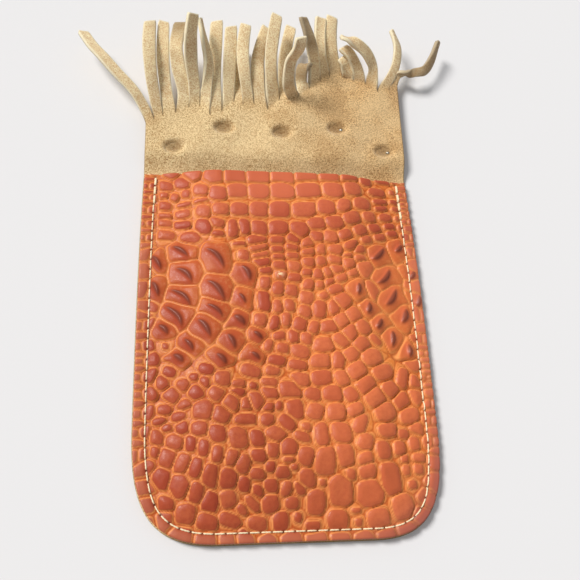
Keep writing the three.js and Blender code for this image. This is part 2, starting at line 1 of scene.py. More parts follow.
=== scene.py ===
import bpy
import numpy as np
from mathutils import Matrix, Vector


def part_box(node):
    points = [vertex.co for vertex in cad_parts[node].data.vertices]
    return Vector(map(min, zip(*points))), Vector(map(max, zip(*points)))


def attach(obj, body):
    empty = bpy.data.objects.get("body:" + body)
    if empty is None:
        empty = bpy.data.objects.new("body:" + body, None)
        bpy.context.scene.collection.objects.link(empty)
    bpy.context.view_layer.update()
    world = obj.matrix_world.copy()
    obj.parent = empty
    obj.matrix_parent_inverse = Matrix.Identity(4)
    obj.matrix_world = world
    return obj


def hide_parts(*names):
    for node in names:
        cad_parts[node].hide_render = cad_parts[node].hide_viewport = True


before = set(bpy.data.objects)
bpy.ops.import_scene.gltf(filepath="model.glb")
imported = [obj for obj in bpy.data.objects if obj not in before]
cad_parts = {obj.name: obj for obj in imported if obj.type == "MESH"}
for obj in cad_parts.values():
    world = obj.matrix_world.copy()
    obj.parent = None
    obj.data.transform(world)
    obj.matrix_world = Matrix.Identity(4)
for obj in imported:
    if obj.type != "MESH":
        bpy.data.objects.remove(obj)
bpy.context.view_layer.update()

# The camera stands over the pouch, left of its middle and towards its round bottom, and looks
# a little up to the fringe. Its place and turn give the photograph's outline of the pouch.
camera_place = (-0.04593, -0.09361, 0.31222)
camera_turn = (21.202, -8.087, -2.321)
camera_lens = 45.99
film_width = 36
camera_data = bpy.data.cameras.new("camera")
camera_data.sensor_fit = "HORIZONTAL"
camera_data.sensor_width = film_width
camera_data.lens = camera_lens
camera_data.clip_start = 0.01
camera = bpy.data.objects.new("camera", camera_data)
camera.location = camera_place
camera.rotation_euler = np.radians(camera_turn)
bpy.context.scene.collection.objects.link(camera)
bpy.context.scene.camera = camera
bpy.context.scene.view_settings.view_transform = "Standard"


# Front panel: one piece of cowhide, embossed as a reptile's hide and dyed orange with its scales
# rubbed red-brown. It is stitched to the back round its sides and bottom, and its mouth is open.
# Sizes are in millimetres, and those in pairs are for the left and the right side.
mm = 0.001
front_low, front_high = (np.array(corner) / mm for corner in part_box("front_panel"))
half_width = (front_high[0] - front_low[0]) / 2
half_length = (front_high[1] - front_low[1]) / 2
mouth_taper = (1.5, 3)
corner_width = (34.7, 30.4)
corner_length = (46, 44)
side_bend = (0.6, 0.45)
front_inside = front_low[2]
leather_thickness = 1.6
pocket_bulge = 6
bulge_reach = 32
bottom_margin = 4
side_margin = 5
margin_blend = 30
seam_drop = 1.6
stitch_pitch = 4.6

# A round corner's handles, as shares of its length along the side and of its width along the foot.
left_handles = (0.65, 0.81)
right_handles = (0.71, 0.76)

# Middles of the plain scales, row by row from the mouth down to the round bottom.
plain_scales = np.array([
    (-61, 83), (-51, 83), (-41.5, 81), (-32, 79.5), (-21.5, 79.5), (-11, 79.5), (0.5, 79.5),
    (12, 81), (23.5, 82), (33.5, 82.5), (59, 83), (-61, 76), (61, 75.5), (-61, 70), (-61, 64),
    (61.5, 70.5), (61.5, 66), (-61.5, 56.5), (61.5, 62),
    (-62, 50), (60.5, 53), (16.5, 36.5), (23, 37.5), (15, 31), (18.5, 32), (23, 34), (29, 36.5),
    (-12.5, 46.5), (-11.5, 43), (-10.5, 40), (-10, 37), (-2.5, 46.5), (-2.5, 42.5), (-2.5, 38.5),
    (-2.5, 35), (4, 47.5), (3.5, 44), (3.5, 39.5), (3.5, 35), (10.5, 46), (11, 41.5), (11, 37),
    (57, -24), (49, -26), (62.5, -34), (61, -43.5), (61, -60), (62, -51), (62.5, -27), (62, -15),
    (58, -10), (62.5, -4), (56, -67.5), (54, -73), (-49, -23), (-39.5, -22.5), (-31, -23),
    (-25, -27), (-14.5, -26), (-59, -52), (-58.5, -60), (-58, -67), (-51, -72), (-58, -74),
    (-44.5, -77.5), (-34.5, -80.5), (-26.5, -81), (-19.5, -81.5), (-11, -82), (-1, -82), (9, -82),
    (19, -82), (29, -82), (38, -81), (47, -79), (-61.5, 42.5), (-61.5, 33.5), (-62, 24.5),
    (-61.5, 16.5), (-61.5, 8.5), (-61.5, -1.5), (-60, -7.5), (-60, -14.5), (-59.5, -22),
    (-60, -30), (-61, -38), (-62, -46), (63, 46.5), (62.5, 38.5), (36.5, 34.5), (62, 29.5),
    (40, 24.5), (61.5, 14), (63, 2), (57.5, -17.5),
])

# Scales with a form of their own: middle, half width, half length and turn in degrees.
formed_scales = np.array([
    (-50.1, -12.8, 2.6, 2, -10), (-53, -17.6, 2.3, 2.9, 0), (-44.2, -18.9, 2.4, 2.3, 0),
    (-40.1, -16.2, 1.9, 1.6, -15), (-35, -12.9, 3, 2.3, -10), (-35.5, -18.4, 1.9, 2.1, 0),
    (-28, -16.7, 2.8, 2.7, 0), (-16.3, -13.8, 3.6, 2.3, -12), (-21.4, -19.2, 3, 1.5, 0),
    (-22, -23.2, 3.4, 1.5, 0), (-15.4, -20.4, 1.4, 1.6, -20), (-7, -13.5, 2.9, 2, -8),
    (-8.5, -18.5, 3.2, 1.7, -8), (-9.1, -23, 3.4, 1.9, -8), (-5.5, -9.3, 3.2, 1.9, -12),
    (-2.8, -4.1, 2.3, 2, -12), (-8.6, -2.3, 1.6, 2.6, -20), (-3.6, 1.7, 2.5, 1.7, 8),
    (-12.1, 9.1, 2.3, 2.8, 0), (-10.1, 17.8, 2.4, 4.6, 0), (-9.2, 26.6, 2.2, 2.7, 0),
    (-9, 32.3, 2.6, 1.5, 0), (-2.7, 30.5, 2.2, 2.2, 0), (-3.4, 23.4, 2.2, 2.9, 0),
    (-4.2, 15.1, 1.8, 2.7, 0), (-5.8, 7.5, 1.9, 3, -10), (-0.6, 9, 1.7, 2.9, 0),
    (3.8, 29, 2.8, 2, 0), (2.4, 22.6, 2.6, 2.4, 0), (1.1, 15.6, 1.8, 2.6, 0),
    (9.3, 19.6, 2.8, 2.8, -10), (10.2, 25.6, 2, 2.4, -10), (9.9, 32.1, 2.4, 1.9, 0),
    (7.6, 13.2, 2.5, 2.6, -8), (5.4, 7.4, 2.4, 2.7, -8), (2.7, 1.1, 2, 3, 0),
    (8.1, 0.8, 2, 2.6, -10), (11.6, 5.7, 2.1, 2.7, -15), (14.4, 14.1, 2.3, 4.2, -5),
    (18.4, 5.9, 3.3, 2.5, 12), (15.3, -2.4, 4.2, 2.7, 5), (4.8, -5.1, 3.4, 2.5, -8),
    (3.5, -11.2, 3.6, 2.1, -5), (13.6, -9.6, 4, 2.8, -3), (21.4, -9.4, 2.3, 3.6, -8),
    (5, -17.4, 3.8, 2.4, -5), (13.9, -17.1, 4.2, 2.8, 0), (22.7, -16.9, 2.7, 3, 20),
    (-0.2, -22.1, 4.3, 2.8, 0), (9.4, -23.6, 3.3, 2.6, -15), (17.6, -23.8, 3.8, 2.9, 0),
    (25.7, -24, 2.7, 2.7, 35), (33, -20.1, 4, 2.6, 30), (29.4, -13.5, 3.5, 3.2, 32),
    (27, -6.3, 2.9, 2.6, 38), (23.4, 0, 2.9, 2.2, -36), (28.1, 3.7, 3, 2.7, 42),
    (24, 9.3, 3.2, 2.8, 42), (20.7, 14.9, 2.1, 3.1, -25), (25.4, 18.4, 3.1, 2.9, 38),
    (29.4, 12, 2.6, 3, 35), (33.7, 5.8, 3.2, 2.4, -40), (32.7, -1.8, 3.1, 3, 40),
    (39.3, 0.6, 2.6, 1.7, -45), (36.5, -7.7, 4, 3.1, 8), (41.5, -13.8, 4, 3, 25),
    (50.7, -16.3, 2.3, 3.9, -15), (44.2, -20.9, 3, 2.9, 40), (36.5, -25.5, 4.1, 3.4, 30),
    (22.3, 23.7, 3.2, 1.9, 20), (16.9, 20.3, 1.8, 1.6, 30), (19.9, 27, 2.3, 1.4, 22),
    (15.2, 25.7, 1.5, 1.8, 0), (24.9, 29.9, 2.1, 2, 20), (30.7, 32, 2.5, 1.7, 15),
    (33.9, 74.9, 3.5, 3.2, -5), (24.1, 73.8, 4.1, 3.4, 0), (41.4, 80.6, 2.6, 2.3, 0),
    (50.7, 81.6, 4, 1.3, -5), (46.5, 75.4, 4, 1.7, -3), (54.5, 76, 1.5, 1.3, 0),
    (47.4, 70.6, 3.2, 1.4, -3), (55.3, 70.8, 2.6, 1.3, 0), (47.9, 66.8, 2.8, 1.2, 0),
    (56, 67, 2.4, 1.3, -5), (38, 67.9, 3.4, 2.9, 0), (29, 66, 2.9, 2.9, -8),
    (20.6, 64.3, 3.8, 3.2, -3), (32.6, 59.5, 3.8, 2.7, 15), (41.5, 61.5, 2.6, 2.2, 10),
    (50, 62.1, 3, 1.8, -5), (57, 62.5, 1.9, 1.2, 0), (23.8, 56.8, 3.7, 2.7, 12),
    (15.2, 55.7, 3.5, 2.6, 5), (36, 53.5, 3, 2.6, 12), (43.5, 56, 2.6, 2.1, 10),
    (51.5, 57.5, 2.5, 1.7, 0), (59, 57.5, 2.6, 1.9, -10), (52.2, 53.6, 2.5, 1.4, 5),
    (28.1, 51, 2.7, 2.3, 20), (21.4, 49.4, 3.1, 2.6, 0), (14.9, 49.1, 2.9, 2.1, -10),
    (38.6, 49, 2.5, 1.7, 20), (45.5, 51.5, 2.4, 1.6, 10), (31.1, 45.4, 2.9, 1.8, 22),
    (23.6, 42.8, 3, 2.2, 8), (17, 42, 1.7, 2.9, -5), (35.2, 43.5, 2.3, 1.6, 20),
    (35.2, 39, 2.2, 1.7, 0), (29.2, 40, 2.3, 1.3, 12), (-46.2, 76.8, 3.2, 2.7, -10),
    (-53.5, 75.5, 2.9, 2.2, -8), (-49.7, 69.5, 1.6, 1.7, -20), (-44.7, 71, 1.8, 1.7, -10),
    (-37.8, 72, 2.9, 2.3, -8), (-37.6, 66.5, 2.9, 1, 8), (-45.1, 65.6, 2.8, 1.2, 5),
    (-54.6, 70.6, 2.2, 1.4, 10), (-53.8, 65.2, 2.9, 1.8, -5), (-36.2, 60.9, 2.9, 2.5, -8),
    (-45.4, 60.6, 2.9, 1.9, 5), (-45.8, 55.2, 3.3, 1.7, 0), (-53.5, 60.1, 3, 1.2, -5),
    (-53.9, 56.2, 3.1, 1.5, 0), (-53.5, 50.4, 3.9, 2.1, -3), (-42.3, 48.5, 4, 2.2, -18),
    (-36.5, 53.1, 3.4, 3.4, -10), (-30.3, 55.3, 2.8, 2.1, -15), (-30, 49.9, 2.7, 1.1, 0),
    (-23.4, 52.2, 2.2, 3.9, -3), (-18, 53, 2.2, 3.3, 0), (-28.3, 62.2, 3.4, 2.5, -5),
    (-19.7, 62, 3.6, 2.8, -5), (-29.9, 70.4, 3.8, 3.2, -5), (-20.2, 44.5, 2.8, 1.1, 0),
    (-18.4, 39.2, 2.3, 2.2, -5), (-52, -1.5, 1.2, 1.4, 0), (10, -31, 3.1, 2.9, -20),
    (19, -31.8, 3.3, 3.3, 0), (27.2, -30.4, 3.2, 2.5, 20), (40.8, -31.3, 4.3, 3.2, 22),
    (52.6, -32.8, 4, 3, 10), (12.3, -40.6, 2.5, 4.1, 0), (20.8, -40.2, 3.6, 3.5, 0),
    (29.3, -36.6, 2.5, 3.9, -30), (41.5, -39, 4, 2.6, 15), (55.4, -38.1, 3.1, 2.1, -10),
    (48.6, -40.5, 2.2, 1.7, 0), (30.5, -44.1, 3, 3.2, -25), (38.4, -47.6, 2.7, 3.2, 10),
    (45.8, -46.2, 2.5, 2.6, 0), (53, -44.7, 2, 2.6, 0), (21.7, -49.3, 3.1, 4.2, 12),
    (30.3, -50.7, 2.6, 2.1, 10), (48, -50.9, 1.6, 1.5, 0), (54.9, -50.6, 2.6, 1.6, 0),
    (13.5, -52, 3.5, 5.6, 0), (31.3, -56, 2.9, 2.7, 0), (24.3, -56.7, 1.8, 2.1, 0),
    (48.5, -55.5, 1.6, 1.8, 0), (54.5, -55.2, 2, 1.8, 0), (12.3, -59.7, 1.2, 1.4, 0),
    (41.2, -58.8, 3.8, 6.2, 4), (50.6, -61.5, 1.8, 1.7, 0), (19.5, -63.4, 4.1, 5.4, 0),
    (31.8, -64.9, 4.8, 4.6, -10), (9.2, -67, 3.3, 4.4, 0), (18.3, -74.8, 3.8, 3.7, 0),
    (25.9, -70.8, 1.8, 1.1, 0), (26.9, -75.4, 1.4, 1.4, 0), (35.4, -74.9, 4, 3.5, 8),
    (45.8, -70.2, 3.9, 4.4, 20), (8.2, -76.2, 2.6, 1.8, 0), (-18.6, -34.3, 4.2, 2, 0),
    (-9.8, -34.3, 2.4, 2.2, -8), (-1.6, -35.9, 3.5, 2.3, -42), (1.6, -30.2, 3, 3.9, 15),
    (-9.6, -28.8, 1.9, 1.7, 0), (-5.4, -28.8, 1.3, 1.9, 0), (-18.8, -27.7, 2.4, 2.2, 0),
    (6.5, -37.3, 1.6, 1.7, 0), (4.2, -41.6, 3, 1.9, -8), (-6.6, -40, 3.9, 2.5, -28),
    (-22.2, -41.9, 3.2, 3.9, 8), (-14.5, -42, 2.6, 3.1, 0), (-8.2, -46.5, 2.1, 2.9, 0),
    (-1.7, -46.2, 2.7, 3.2, -12), (-1.7, -50.8, 1.8, 1.2, 0), (0.8, -54, 1.2, 1.3, 0),
    (5.4, -49.5, 3.1, 3.6, 0), (-24.8, -49.5, 2.3, 3.2, -8), (-20.1, -52.5, 2.5, 3.4, -12),
    (-14.2, -48.9, 2.8, 2.2, 0), (-9, -53, 1.9, 2, 0), (-14.3, -55.9, 2.6, 2.1, 0),
    (-3.9, -55.8, 3, 2.3, 0), (6, -57.9, 2.9, 3.1, 0), (-26, -57.4, 2.9, 3.6, -10),
    (-19.9, -60.1, 2.2, 2.9, -8), (-14.4, -62.7, 1.7, 2.2, 0), (-9.1, -60.5, 2.4, 2.4, 0),
    (-2.8, -62.2, 1.8, 2.9, -35), (2.8, -62, 1.7, 2.3, 10), (-26.4, -65.2, 2.7, 3, 15),
    (-20.7, -69.7, 2.3, 1.5, -35), (-16.3, -67.6, 4.4, 1.7, -38), (-9.5, -67.2, 2.9, 3.4, 10),
    (-0.7, -67.8, 2.6, 2.3, 0), (2.2, -73.1, 1.5, 1.7, -15), (-25.4, -73.1, 4.6, 2.3, -24),
    (-14.3, -74.9, 3.5, 2.4, 0), (-4.9, -74.5, 2.6, 3.2, 0), (-52.2, -28.9, 2.5, 2, 10),
    (-44.4, -26.9, 3.2, 1.8, 12), (-36.6, -30, 3.5, 3.5, 0), (-28.8, -31.9, 3.4, 2.9, -20),
    (-46.4, -31.8, 2.9, 1.8, 8), (-53.7, -33.9, 2.6, 1.5, 10), (-50.9, -36.5, 2, 1.3, 15),
    (-44.6, -36.5, 2.4, 2.2, 10), (-37.5, -37.6, 3, 2.7, 10), (-30.4, -39.4, 3.1, 3.2, 8),
    (-54.9, -40.3, 2.7, 2.5, -10), (-48, -42, 2.8, 2.9, -10), (-41.4, -43.4, 2.1, 3, -8),
    (-36.3, -45.5, 2, 2.9, -8), (-30.9, -47.7, 1.9, 3.1, -5), (-56.1, -46.5, 1.6, 2.6, -5),
    (-50.8, -48.5, 2.8, 3.5, -14), (-44.7, -50.9, 2.3, 3.6, -12), (-39.1, -53.1, 2.2, 4.1, -8),
    (-33.1, -56.2, 2.6, 4.3, -10), (-52.6, -56.7, 3.1, 3.9, -5), (-45.7, -59.4, 3.4, 3.9, 25),
    (-39.1, -63.1, 2.2, 4.2, -12), (-33.6, -66.3, 2.9, 3.8, -15), (-51.2, -66.4, 2.8, 2.6, -10),
    (-43.2, -70.5, 3.7, 3.6, 0), (-34.3, -73.9, 3.5, 2.8, -10), (-21.2, 71.5, 4.1, 3.2, 0),
    (-11.3, 71.8, 4.3, 3.3, 0), (-0.2, 72, 5.1, 3.3, 0), (12.3, 73, 5.4, 3.3, 0),
    (-10.8, 62.5, 3.9, 3.5, 0), (-1.4, 62.4, 4.1, 3.6, 0), (10.2, 63, 5, 3.2, 0),
    (-11.4, 53, 3.2, 3.3, 0), (-2.5, 52.6, 4, 3.5, 0), (7, 52.6, 4, 3.5, 0),
])

# Keeled scales: middle, half width, half length, and the turn in degrees, half length and half
# width of the leaf-shaped keel on each.
keeled_scales = np.array([
    (-46, 42.5, 5.2, 3.7, -35, 3.9, 1.3), (-30.3, 38.6, 5.6, 6, -50, 5, 1.7),
    (-44.3, 31.3, 6.3, 4.6, -44, 4.3, 1.5), (-30, 23.4, 6, 4.6, -50, 4.9, 1.6),
    (-56.5, 37.5, 3.6, 5, -60, 3.4, 1.4), (-57, 24.9, 3.8, 5, -62, 3.3, 1.3),
    (-45, 21.1, 6, 4.2, -45, 5, 1.2), (-31.2, 13.8, 5.6, 3.6, -40, 3.6, 1.2),
    (-47.9, 12.4, 5.6, 5.2, -51, 5.2, 1.7), (-35.4, 5.6, 4.6, 4.8, -53, 4.1, 1.6),
    (-53, 5.9, 4, 4.4, -45, 2.6, 1.6), (-21, 8.8, 3.6, 3.6, -42, 3, 1.8),
    (-42.1, -1.5, 3.8, 3.7, -60, 3, 1.3), (-24, -0.6, 3.4, 4.7, -68, 3, 1.5),
    (-29, -8, 3.6, 3.9, -50, 2.8, 1.6), (-14.9, -7.3, 3.4, 3.3, -40, 2, 1.2),
    (-47, -7, 3.4, 3.4, -40, 2.4, 1.6), (-17.6, 30.6, 4.4, 5, -62, 3.4, 1.6),
    (-19.2, 18.4, 3.9, 4.2, -65, 2.4, 1), (-12.8, 2.1, 3.3, 2.7, -32, 2, 1.2),
    (44.7, 42, 4.4, 5.2, 48, 4, 1.7), (55.1, 46, 4.6, 5.4, 50, 2.4, 1.6),
    (46.5, 30.9, 6, 5, 48, 4.4, 1.8), (33, 23.6, 4.2, 5.2, 85, 2.6, 1.4),
    (49.4, 20.9, 5.6, 5.4, 50, 4.2, 1.9), (36.9, 14.9, 3.6, 4.2, 70, 2.6, 1.6),
    (54.6, 12.4, 4.6, 5.2, 65, 3.2, 1.9), (41.6, 8.2, 3.6, 3.6, 60, 2.4, 1.5),
    (48, 1.8, 3.4, 5.2, 85, 3.4, 1.4), (55, -3.6, 3.4, 4.3, 85, 2.6, 1.4),
    (60.5, 33.5, 3, 4.6, 60, 2.4, 1.4), (62.5, 20.5, 2.4, 4.4, 70, 3, 1.4),
])


# A plain scale's half size, and the growth of the formed ones that makes them meet.
plain_size = 3.7
form_growth = 1.19


def smooth(t):
    """0 below 0, 1 above 1, and between them the cubic 3t^2 - 2t^3, which has level ends."""
    t = np.clip(t, 0, 1)
    return t * t * (3 - 2 * t)


def bell(distance, width, power=2):
    """1 in the middle, falling off to both sides as e to the power -(distance / width)^power."""
    return np.exp(-(distance / width) ** power)


def turned(offsets, angle):
    """How far offsets reach along and across an axis that is turned by an angle."""
    x, y = offsets[..., 0], offsets[..., 1]
    return x * np.cos(angle) + y * np.sin(angle), y * np.cos(angle) - x * np.sin(angle)


def unit(vectors):
    """The same directions with length 1."""
    return vectors / np.linalg.norm(vectors, axis=1)[:, None]


def left_of(line):
    """Directions of length 1 square to a flat line, on the left as one goes along it."""
    along = unit(np.gradient(line, axis=0))
    return np.stack([-along[:, 1], along[:, 0]], axis=1)


def length_of(line):
    """Length of a line, as the sum of its straight pieces."""
    return np.linalg.norm(np.diff(line, axis=0), axis=1).sum()


def at_shares(line, shares):
    """Points of a line at shares of its length: the length run so far is read backwards."""
    run = np.append(0, np.cumsum(np.linalg.norm(np.diff(line, axis=0), axis=1)))
    return np.stack([np.interp(shares * run[-1], run, axis) for axis in line.T], axis=-1)


curve_steps = 60


def bezier(controls):
    """Bezier curve: neighbouring control points are blended straight, again and again, to one."""
    t = np.linspace(0, 1, curve_steps + 1)[:, None]
    points = [np.array(control, float) for control in controls]
    while len(points) > 1:
        points = [a + (b - a) * t for a, b in zip(points, points[1:])]
    return points[0]


def pouch_outline(grow):
    """A panel's outline from the mouth's left end round to its right end, grown outwards, and its
    left side, bottom and right side apart, which meet in the middles of the round corners. The
    sides are quadratic curves and the corners cubic ones."""
    left, right, foot = -half_width, half_width, -half_length
    left_top, right_top = foot + corner_length[0], foot + corner_length[1]
    left_end, right_end = left + corner_width[0], right - corner_width[1]
    side_left = bezier([
        (left + mouth_taper[0], half_length), (left, half_length * side_bend[0]), (left, left_top),
    ])
    corner_left = bezier([
        (left, left_top), (left, left_top - corner_length[0] * left_handles[0]),
        (left_end - corner_width[0] * left_handles[1], foot), (left_end, foot),
    ])
    corner_right = bezier([
        (right_end, foot), (right_end + corner_width[1] * right_handles[1], foot),
        (right, right_top - corner_length[1] * right_handles[0]), (right, right_top),
    ])
    side_right = bezier([
        (right, right_top), (right, half_length * side_bend[1]),
        (right - mouth_taper[1], half_length),
    ])
    whole = np.vstack([side_left, corner_left[1:], corner_right, side_right[1:]])
    whole = whole - left_of(whole) * grow
    left_middle = len(side_left) - 1 + curve_steps // 2
    right_middle = left_middle + len(corner_left)
    left_line = whole[:left_middle + 1][::-1]
    bottom_line = whole[left_middle:right_middle + 1]
    right_line = whole[right_middle:]
    return whole, left_line, bottom_line, right_line


def ruled_patch(left, bottom, right, top, across, up):
    """Coons patch: the surfaces ruled across and up are added, less the one of the corners."""
    u, v = np.meshgrid(across, up)
    u, v = u[..., None], v[..., None]
    low, high = at_shares(bottom, across)[None], at_shares(top, across)[None]
    near, far = at_shares(left, up)[:, None], at_shares(right, up)[:, None]
    low_corners = (1 - u) * left[0] + u * right[0]
    high_corners = (1 - u) * left[-1] + u * right[-1]
    corners = (1 - v) * low_corners + v * high_corners
    return (1 - v) * low + v * high + (1 - u) * near + u * far - corners


def distance_to(line, places):
    """Distance from each place to the nearest point of a line's straight pieces."""
    start, step = line[:-1], np.diff(line, axis=0)
    offset = places[:, None] - start
    share = np.clip((offset * step).sum(2) / (step ** 2).sum(1), 0, 1)
    return np.linalg.norm(offset - share[..., None] * step, axis=2).min(1)


def distance_to_points(points, places):
    """Distance from each place to the nearest of some points."""
    gap = places[:, None] - points
    return np.sqrt((gap ** 2).sum(2).min(1))


def quads(index):
    """Faces of a grid of vertex numbers, facing up where rows run with y and columns with x."""
    corners = [index[:-1, :-1], index[:-1, 1:], index[1:, 1:], index[1:, :-1]]
    return np.stack(corners, axis=-1).reshape(-1, 4)


def rim_of(index):
    """Vertex numbers round a grid, once, starting with its first row."""
    return np.concatenate([index[0, :-1], index[:-1, -1], index[-1, :0:-1], index[:0:-1, 0]])


def new_piece(name, points, faces, values=()):
    """A smooth mesh object with its points in place, and named values held at its points."""
    mesh = bpy.data.meshes.new(name)
    mesh.from_pydata((points * mm).tolist(), [], [f for part in faces for f in part.tolist()])
    for label, numbers in dict(values).items():
        layer = mesh.attributes.new(label, "FLOAT", "POINT")
        layer.data.foreach_set("value", np.asarray(numbers, np.float32))
    mesh.polygons.foreach_set("use_smooth", np.ones(len(mesh.polygons), bool))
    mesh.update()
    piece = bpy.data.objects.new(name, mesh)
    bpy.context.scene.collection.objects.link(piece)
    return piece


# The fence is the outline, carried on past the mouth, so that only the sides and the bottom count
# as an edge in the distance to it.
outline, outline_left, outline_bottom, outline_right = pouch_outline(0)
past_mouth = np.array([0, 60])
fence = np.vstack([outline[0] + past_mouth, outline, outline[-1] + past_mouth])
fence_points = 181
fence = at_shares(fence, np.linspace(0, 1, fence_points))


def seam_margin_at(y):
    """The seam's distance from the outline, which grows smoothly from the bottom to the sides."""
    return bottom_margin + (side_margin - bottom_margin) * smooth((y + half_length) / margin_blend)


def inside_seam(places):
    """How far inside the seam a place is: its distance to the fence, less the seam's own."""
    return distance_to(fence, places) - seam_margin_at(places[:, 1])


def pocket_swell(inwards):
    """Rise of the leather over the pocket: a smooth step from the seam inwards."""
    return pocket_bulge * smooth(inwards / bulge_reach)


# The seam's line, which starts a little below the mouth, and its needle holes, one at each end of
# a stitch.
seam = outline + left_of(outline) * seam_margin_at(outline[:, 1])[:, None]
seam[:, 1] = np.minimum(seam[:, 1], half_length - seam_drop)
stitch_count = round(length_of(seam) / stitch_pitch)
needle_holes = at_shares(seam, np.arange(stitch_count + 1) / stitch_count)

# Small scales stand in one row outside the seam along both sides, but not round the bottom nor
# beside the keeled scales.
rim_inset = 1.9
outer_column = 57
rim_start = -48
keeled_middle, keeled_reach = 30, 15


def rim_row(line, hand):
    """Scales between the outline and the seam: one beside each scale inside and one halfway."""
    beside = np.sort(plain_scales[plain_scales[:, 0] * hand > outer_column, 1])
    y = np.concatenate([beside, (beside[1:] + beside[:-1]) / 2])
    y = y[(y > rim_start) & (np.abs(y - keeled_middle) > keeled_reach)]
    return np.column_stack([np.interp(y, line[:, 1], line[:, 0]) - hand * rim_inset, y])


# All scales in one list: plain ones, formed ones, and keeled ones last. Each has a height, a tilt
# and a tint of its own, and the space round it is the distance to the nearest other middle.
rim_scales = np.vstack([rim_row(outline_left, -1), rim_row(outline_right, 1)])
middles = np.vstack([plain_scales, rim_scales, formed_scales[:, :2], keeled_scales[:, :2]])
first_formed = len(plain_scales) + len(rim_scales)
first_keeled = first_formed + len(formed_scales)
halves = np.full((len(middles), 2), plain_size)
halves[first_formed:first_keeled] = formed_scales[:, 2:4] * form_growth
halves[first_keeled:] = keeled_scales[:, 2:4]
turns = np.zeros(len(middles))
turns[first_formed:first_keeled] = np.radians(formed_scales[:, 4])
between = np.linalg.norm(middles[:, None] - middles, axis=2)
room = np.where(between > 0, between, np.inf).min(1)
rng = np.random.default_rng(4)
scale_height = 1 + rng.normal(0, 0.1, len(middles))
scale_tilt = rng.normal(0, 0.018, (len(middles), 2))
scale_tint = rng.random(len(middles))

# The keeled scales are plates in rows that fan out: their lean, in degrees, starts at the top of
# each field and grows down the pouch.
plate_x, plate_y = keeled_scales[:, :2].T
on_left = plate_x < 0
lean_span = 45
run_down = np.clip(np.where(on_left, 40, 42) - plate_y, 0, lean_span)
lean = np.radians(np.where(on_left, 0, 22) + np.where(on_left, -0.9, 0.7) * run_down)

# Fields on the hide: tiles near the mouth, and horny plates on the left and on the right, each
# given by its middle and half width across and its middle and half length along.
tile_field = (-2, 40), (76, 15)
left_horns = (-40, 25), (17, 28)
right_horns = (51, 17), (22, 27)

# The relief, from the groove floor up: a low brim, a slope, the top and its crown, and a keel on
# a keeled scale. A formed scale has a faint ring round the foot of its slope. The slope is set in
# from the border by a share of the scale's room, within limits.
wander = 0.3
neighbours = 7
corner_rounding = 0.45
brim_height = 0.26
slope_half = 0.27
inset_share, least_inset, most_inset = 0.12, 0.35, 0.7
top_height = 0.95
crown_height = 0.5
crown_reach = 2.4
keel_height = 1.25
ring_height = 0.14
ring_out, ring_width = 0.88, 0.29


def own_scale(places, rounding):
    """The number of the scale that a place belongs to, and how far inside its border it is.

    A place belongs to the scale with the least power. That is d^2 - r^2, where d is the distance
    to the middle and r^2 the product of the half sizes. For a plate it is r^2 (sqrt(u^4 + v^4) - 1),
    where u and v are the offsets along its sides in half sizes, so that its corners are squarer.
    A border is as far as half the difference of two powers over the distance of both middles,
    and a soft minimum over the nearest scales, -c log(sum of e^(-distance / c)), rounds corners.
    """
    power = ((places[:, None] - middles) ** 2).sum(2) - halves.prod(1)
    sides = np.stack(turned(places[:, None] - middles[first_keeled:], lean), axis=-1)
    squared = np.sqrt(((sides / halves[first_keeled:]) ** 4).sum(2))
    power[:, first_keeled:] = (squared - 1) * halves[first_keeled:].prod(1)
    near = np.argpartition(power, neighbours - 1, axis=1)[:, :neighbours]
    near = np.take_along_axis(near, np.take_along_axis(power, near, 1).argsort(1), 1)
    power = np.take_along_axis(power, near, 1)
    apart = np.linalg.norm(middles[near[:, 1:]] - middles[near[:, :1]], axis=2)
    border = (power[:, 1:] - power[:, :1]) / (2 * apart)
    return near[:, 0], -rounding * np.log(np.exp(-border / rounding[:, None]).sum(1))


def field(places, across, along, power):
    """Share of a field at each place: a bell across times a bell along."""
    x, y = places.T
    return bell(x - across[0], across[1], power) * bell(y - along[0], along[1], power)


def keel_of(row, local):
    """A keel's height as a share, and how near a place is to it, from the offset to the middle.

    Across, the keel is a bell along a line bent as a parabola. Its width tapers along the line
    as (1 - (along / reach)^2)^0.6, like a leaf. The red dye takes best just beside the keel, and
    half as well at the plate's ends.
    """
    way, reach, breadth = np.radians(keeled_scales[row, 4]), *keeled_scales[row, 5:7].T
    along, across = turned(local, way)
    across = across - 0.05 * np.sign(way) * (along ** 2 - 4)
    leaf = np.clip(1 - (along / (1.25 * reach)) ** 2, 0, 1) ** 0.6
    keel = leaf * bell(across, 0.2 + 0.72 * breadth * leaf)
    beside = bell(across - 1.2 * np.sign(way), 2.4 * breadth)
    return keel, 0.5 + 0.5 * beside * bell(along, 1.4 * reach, 4)


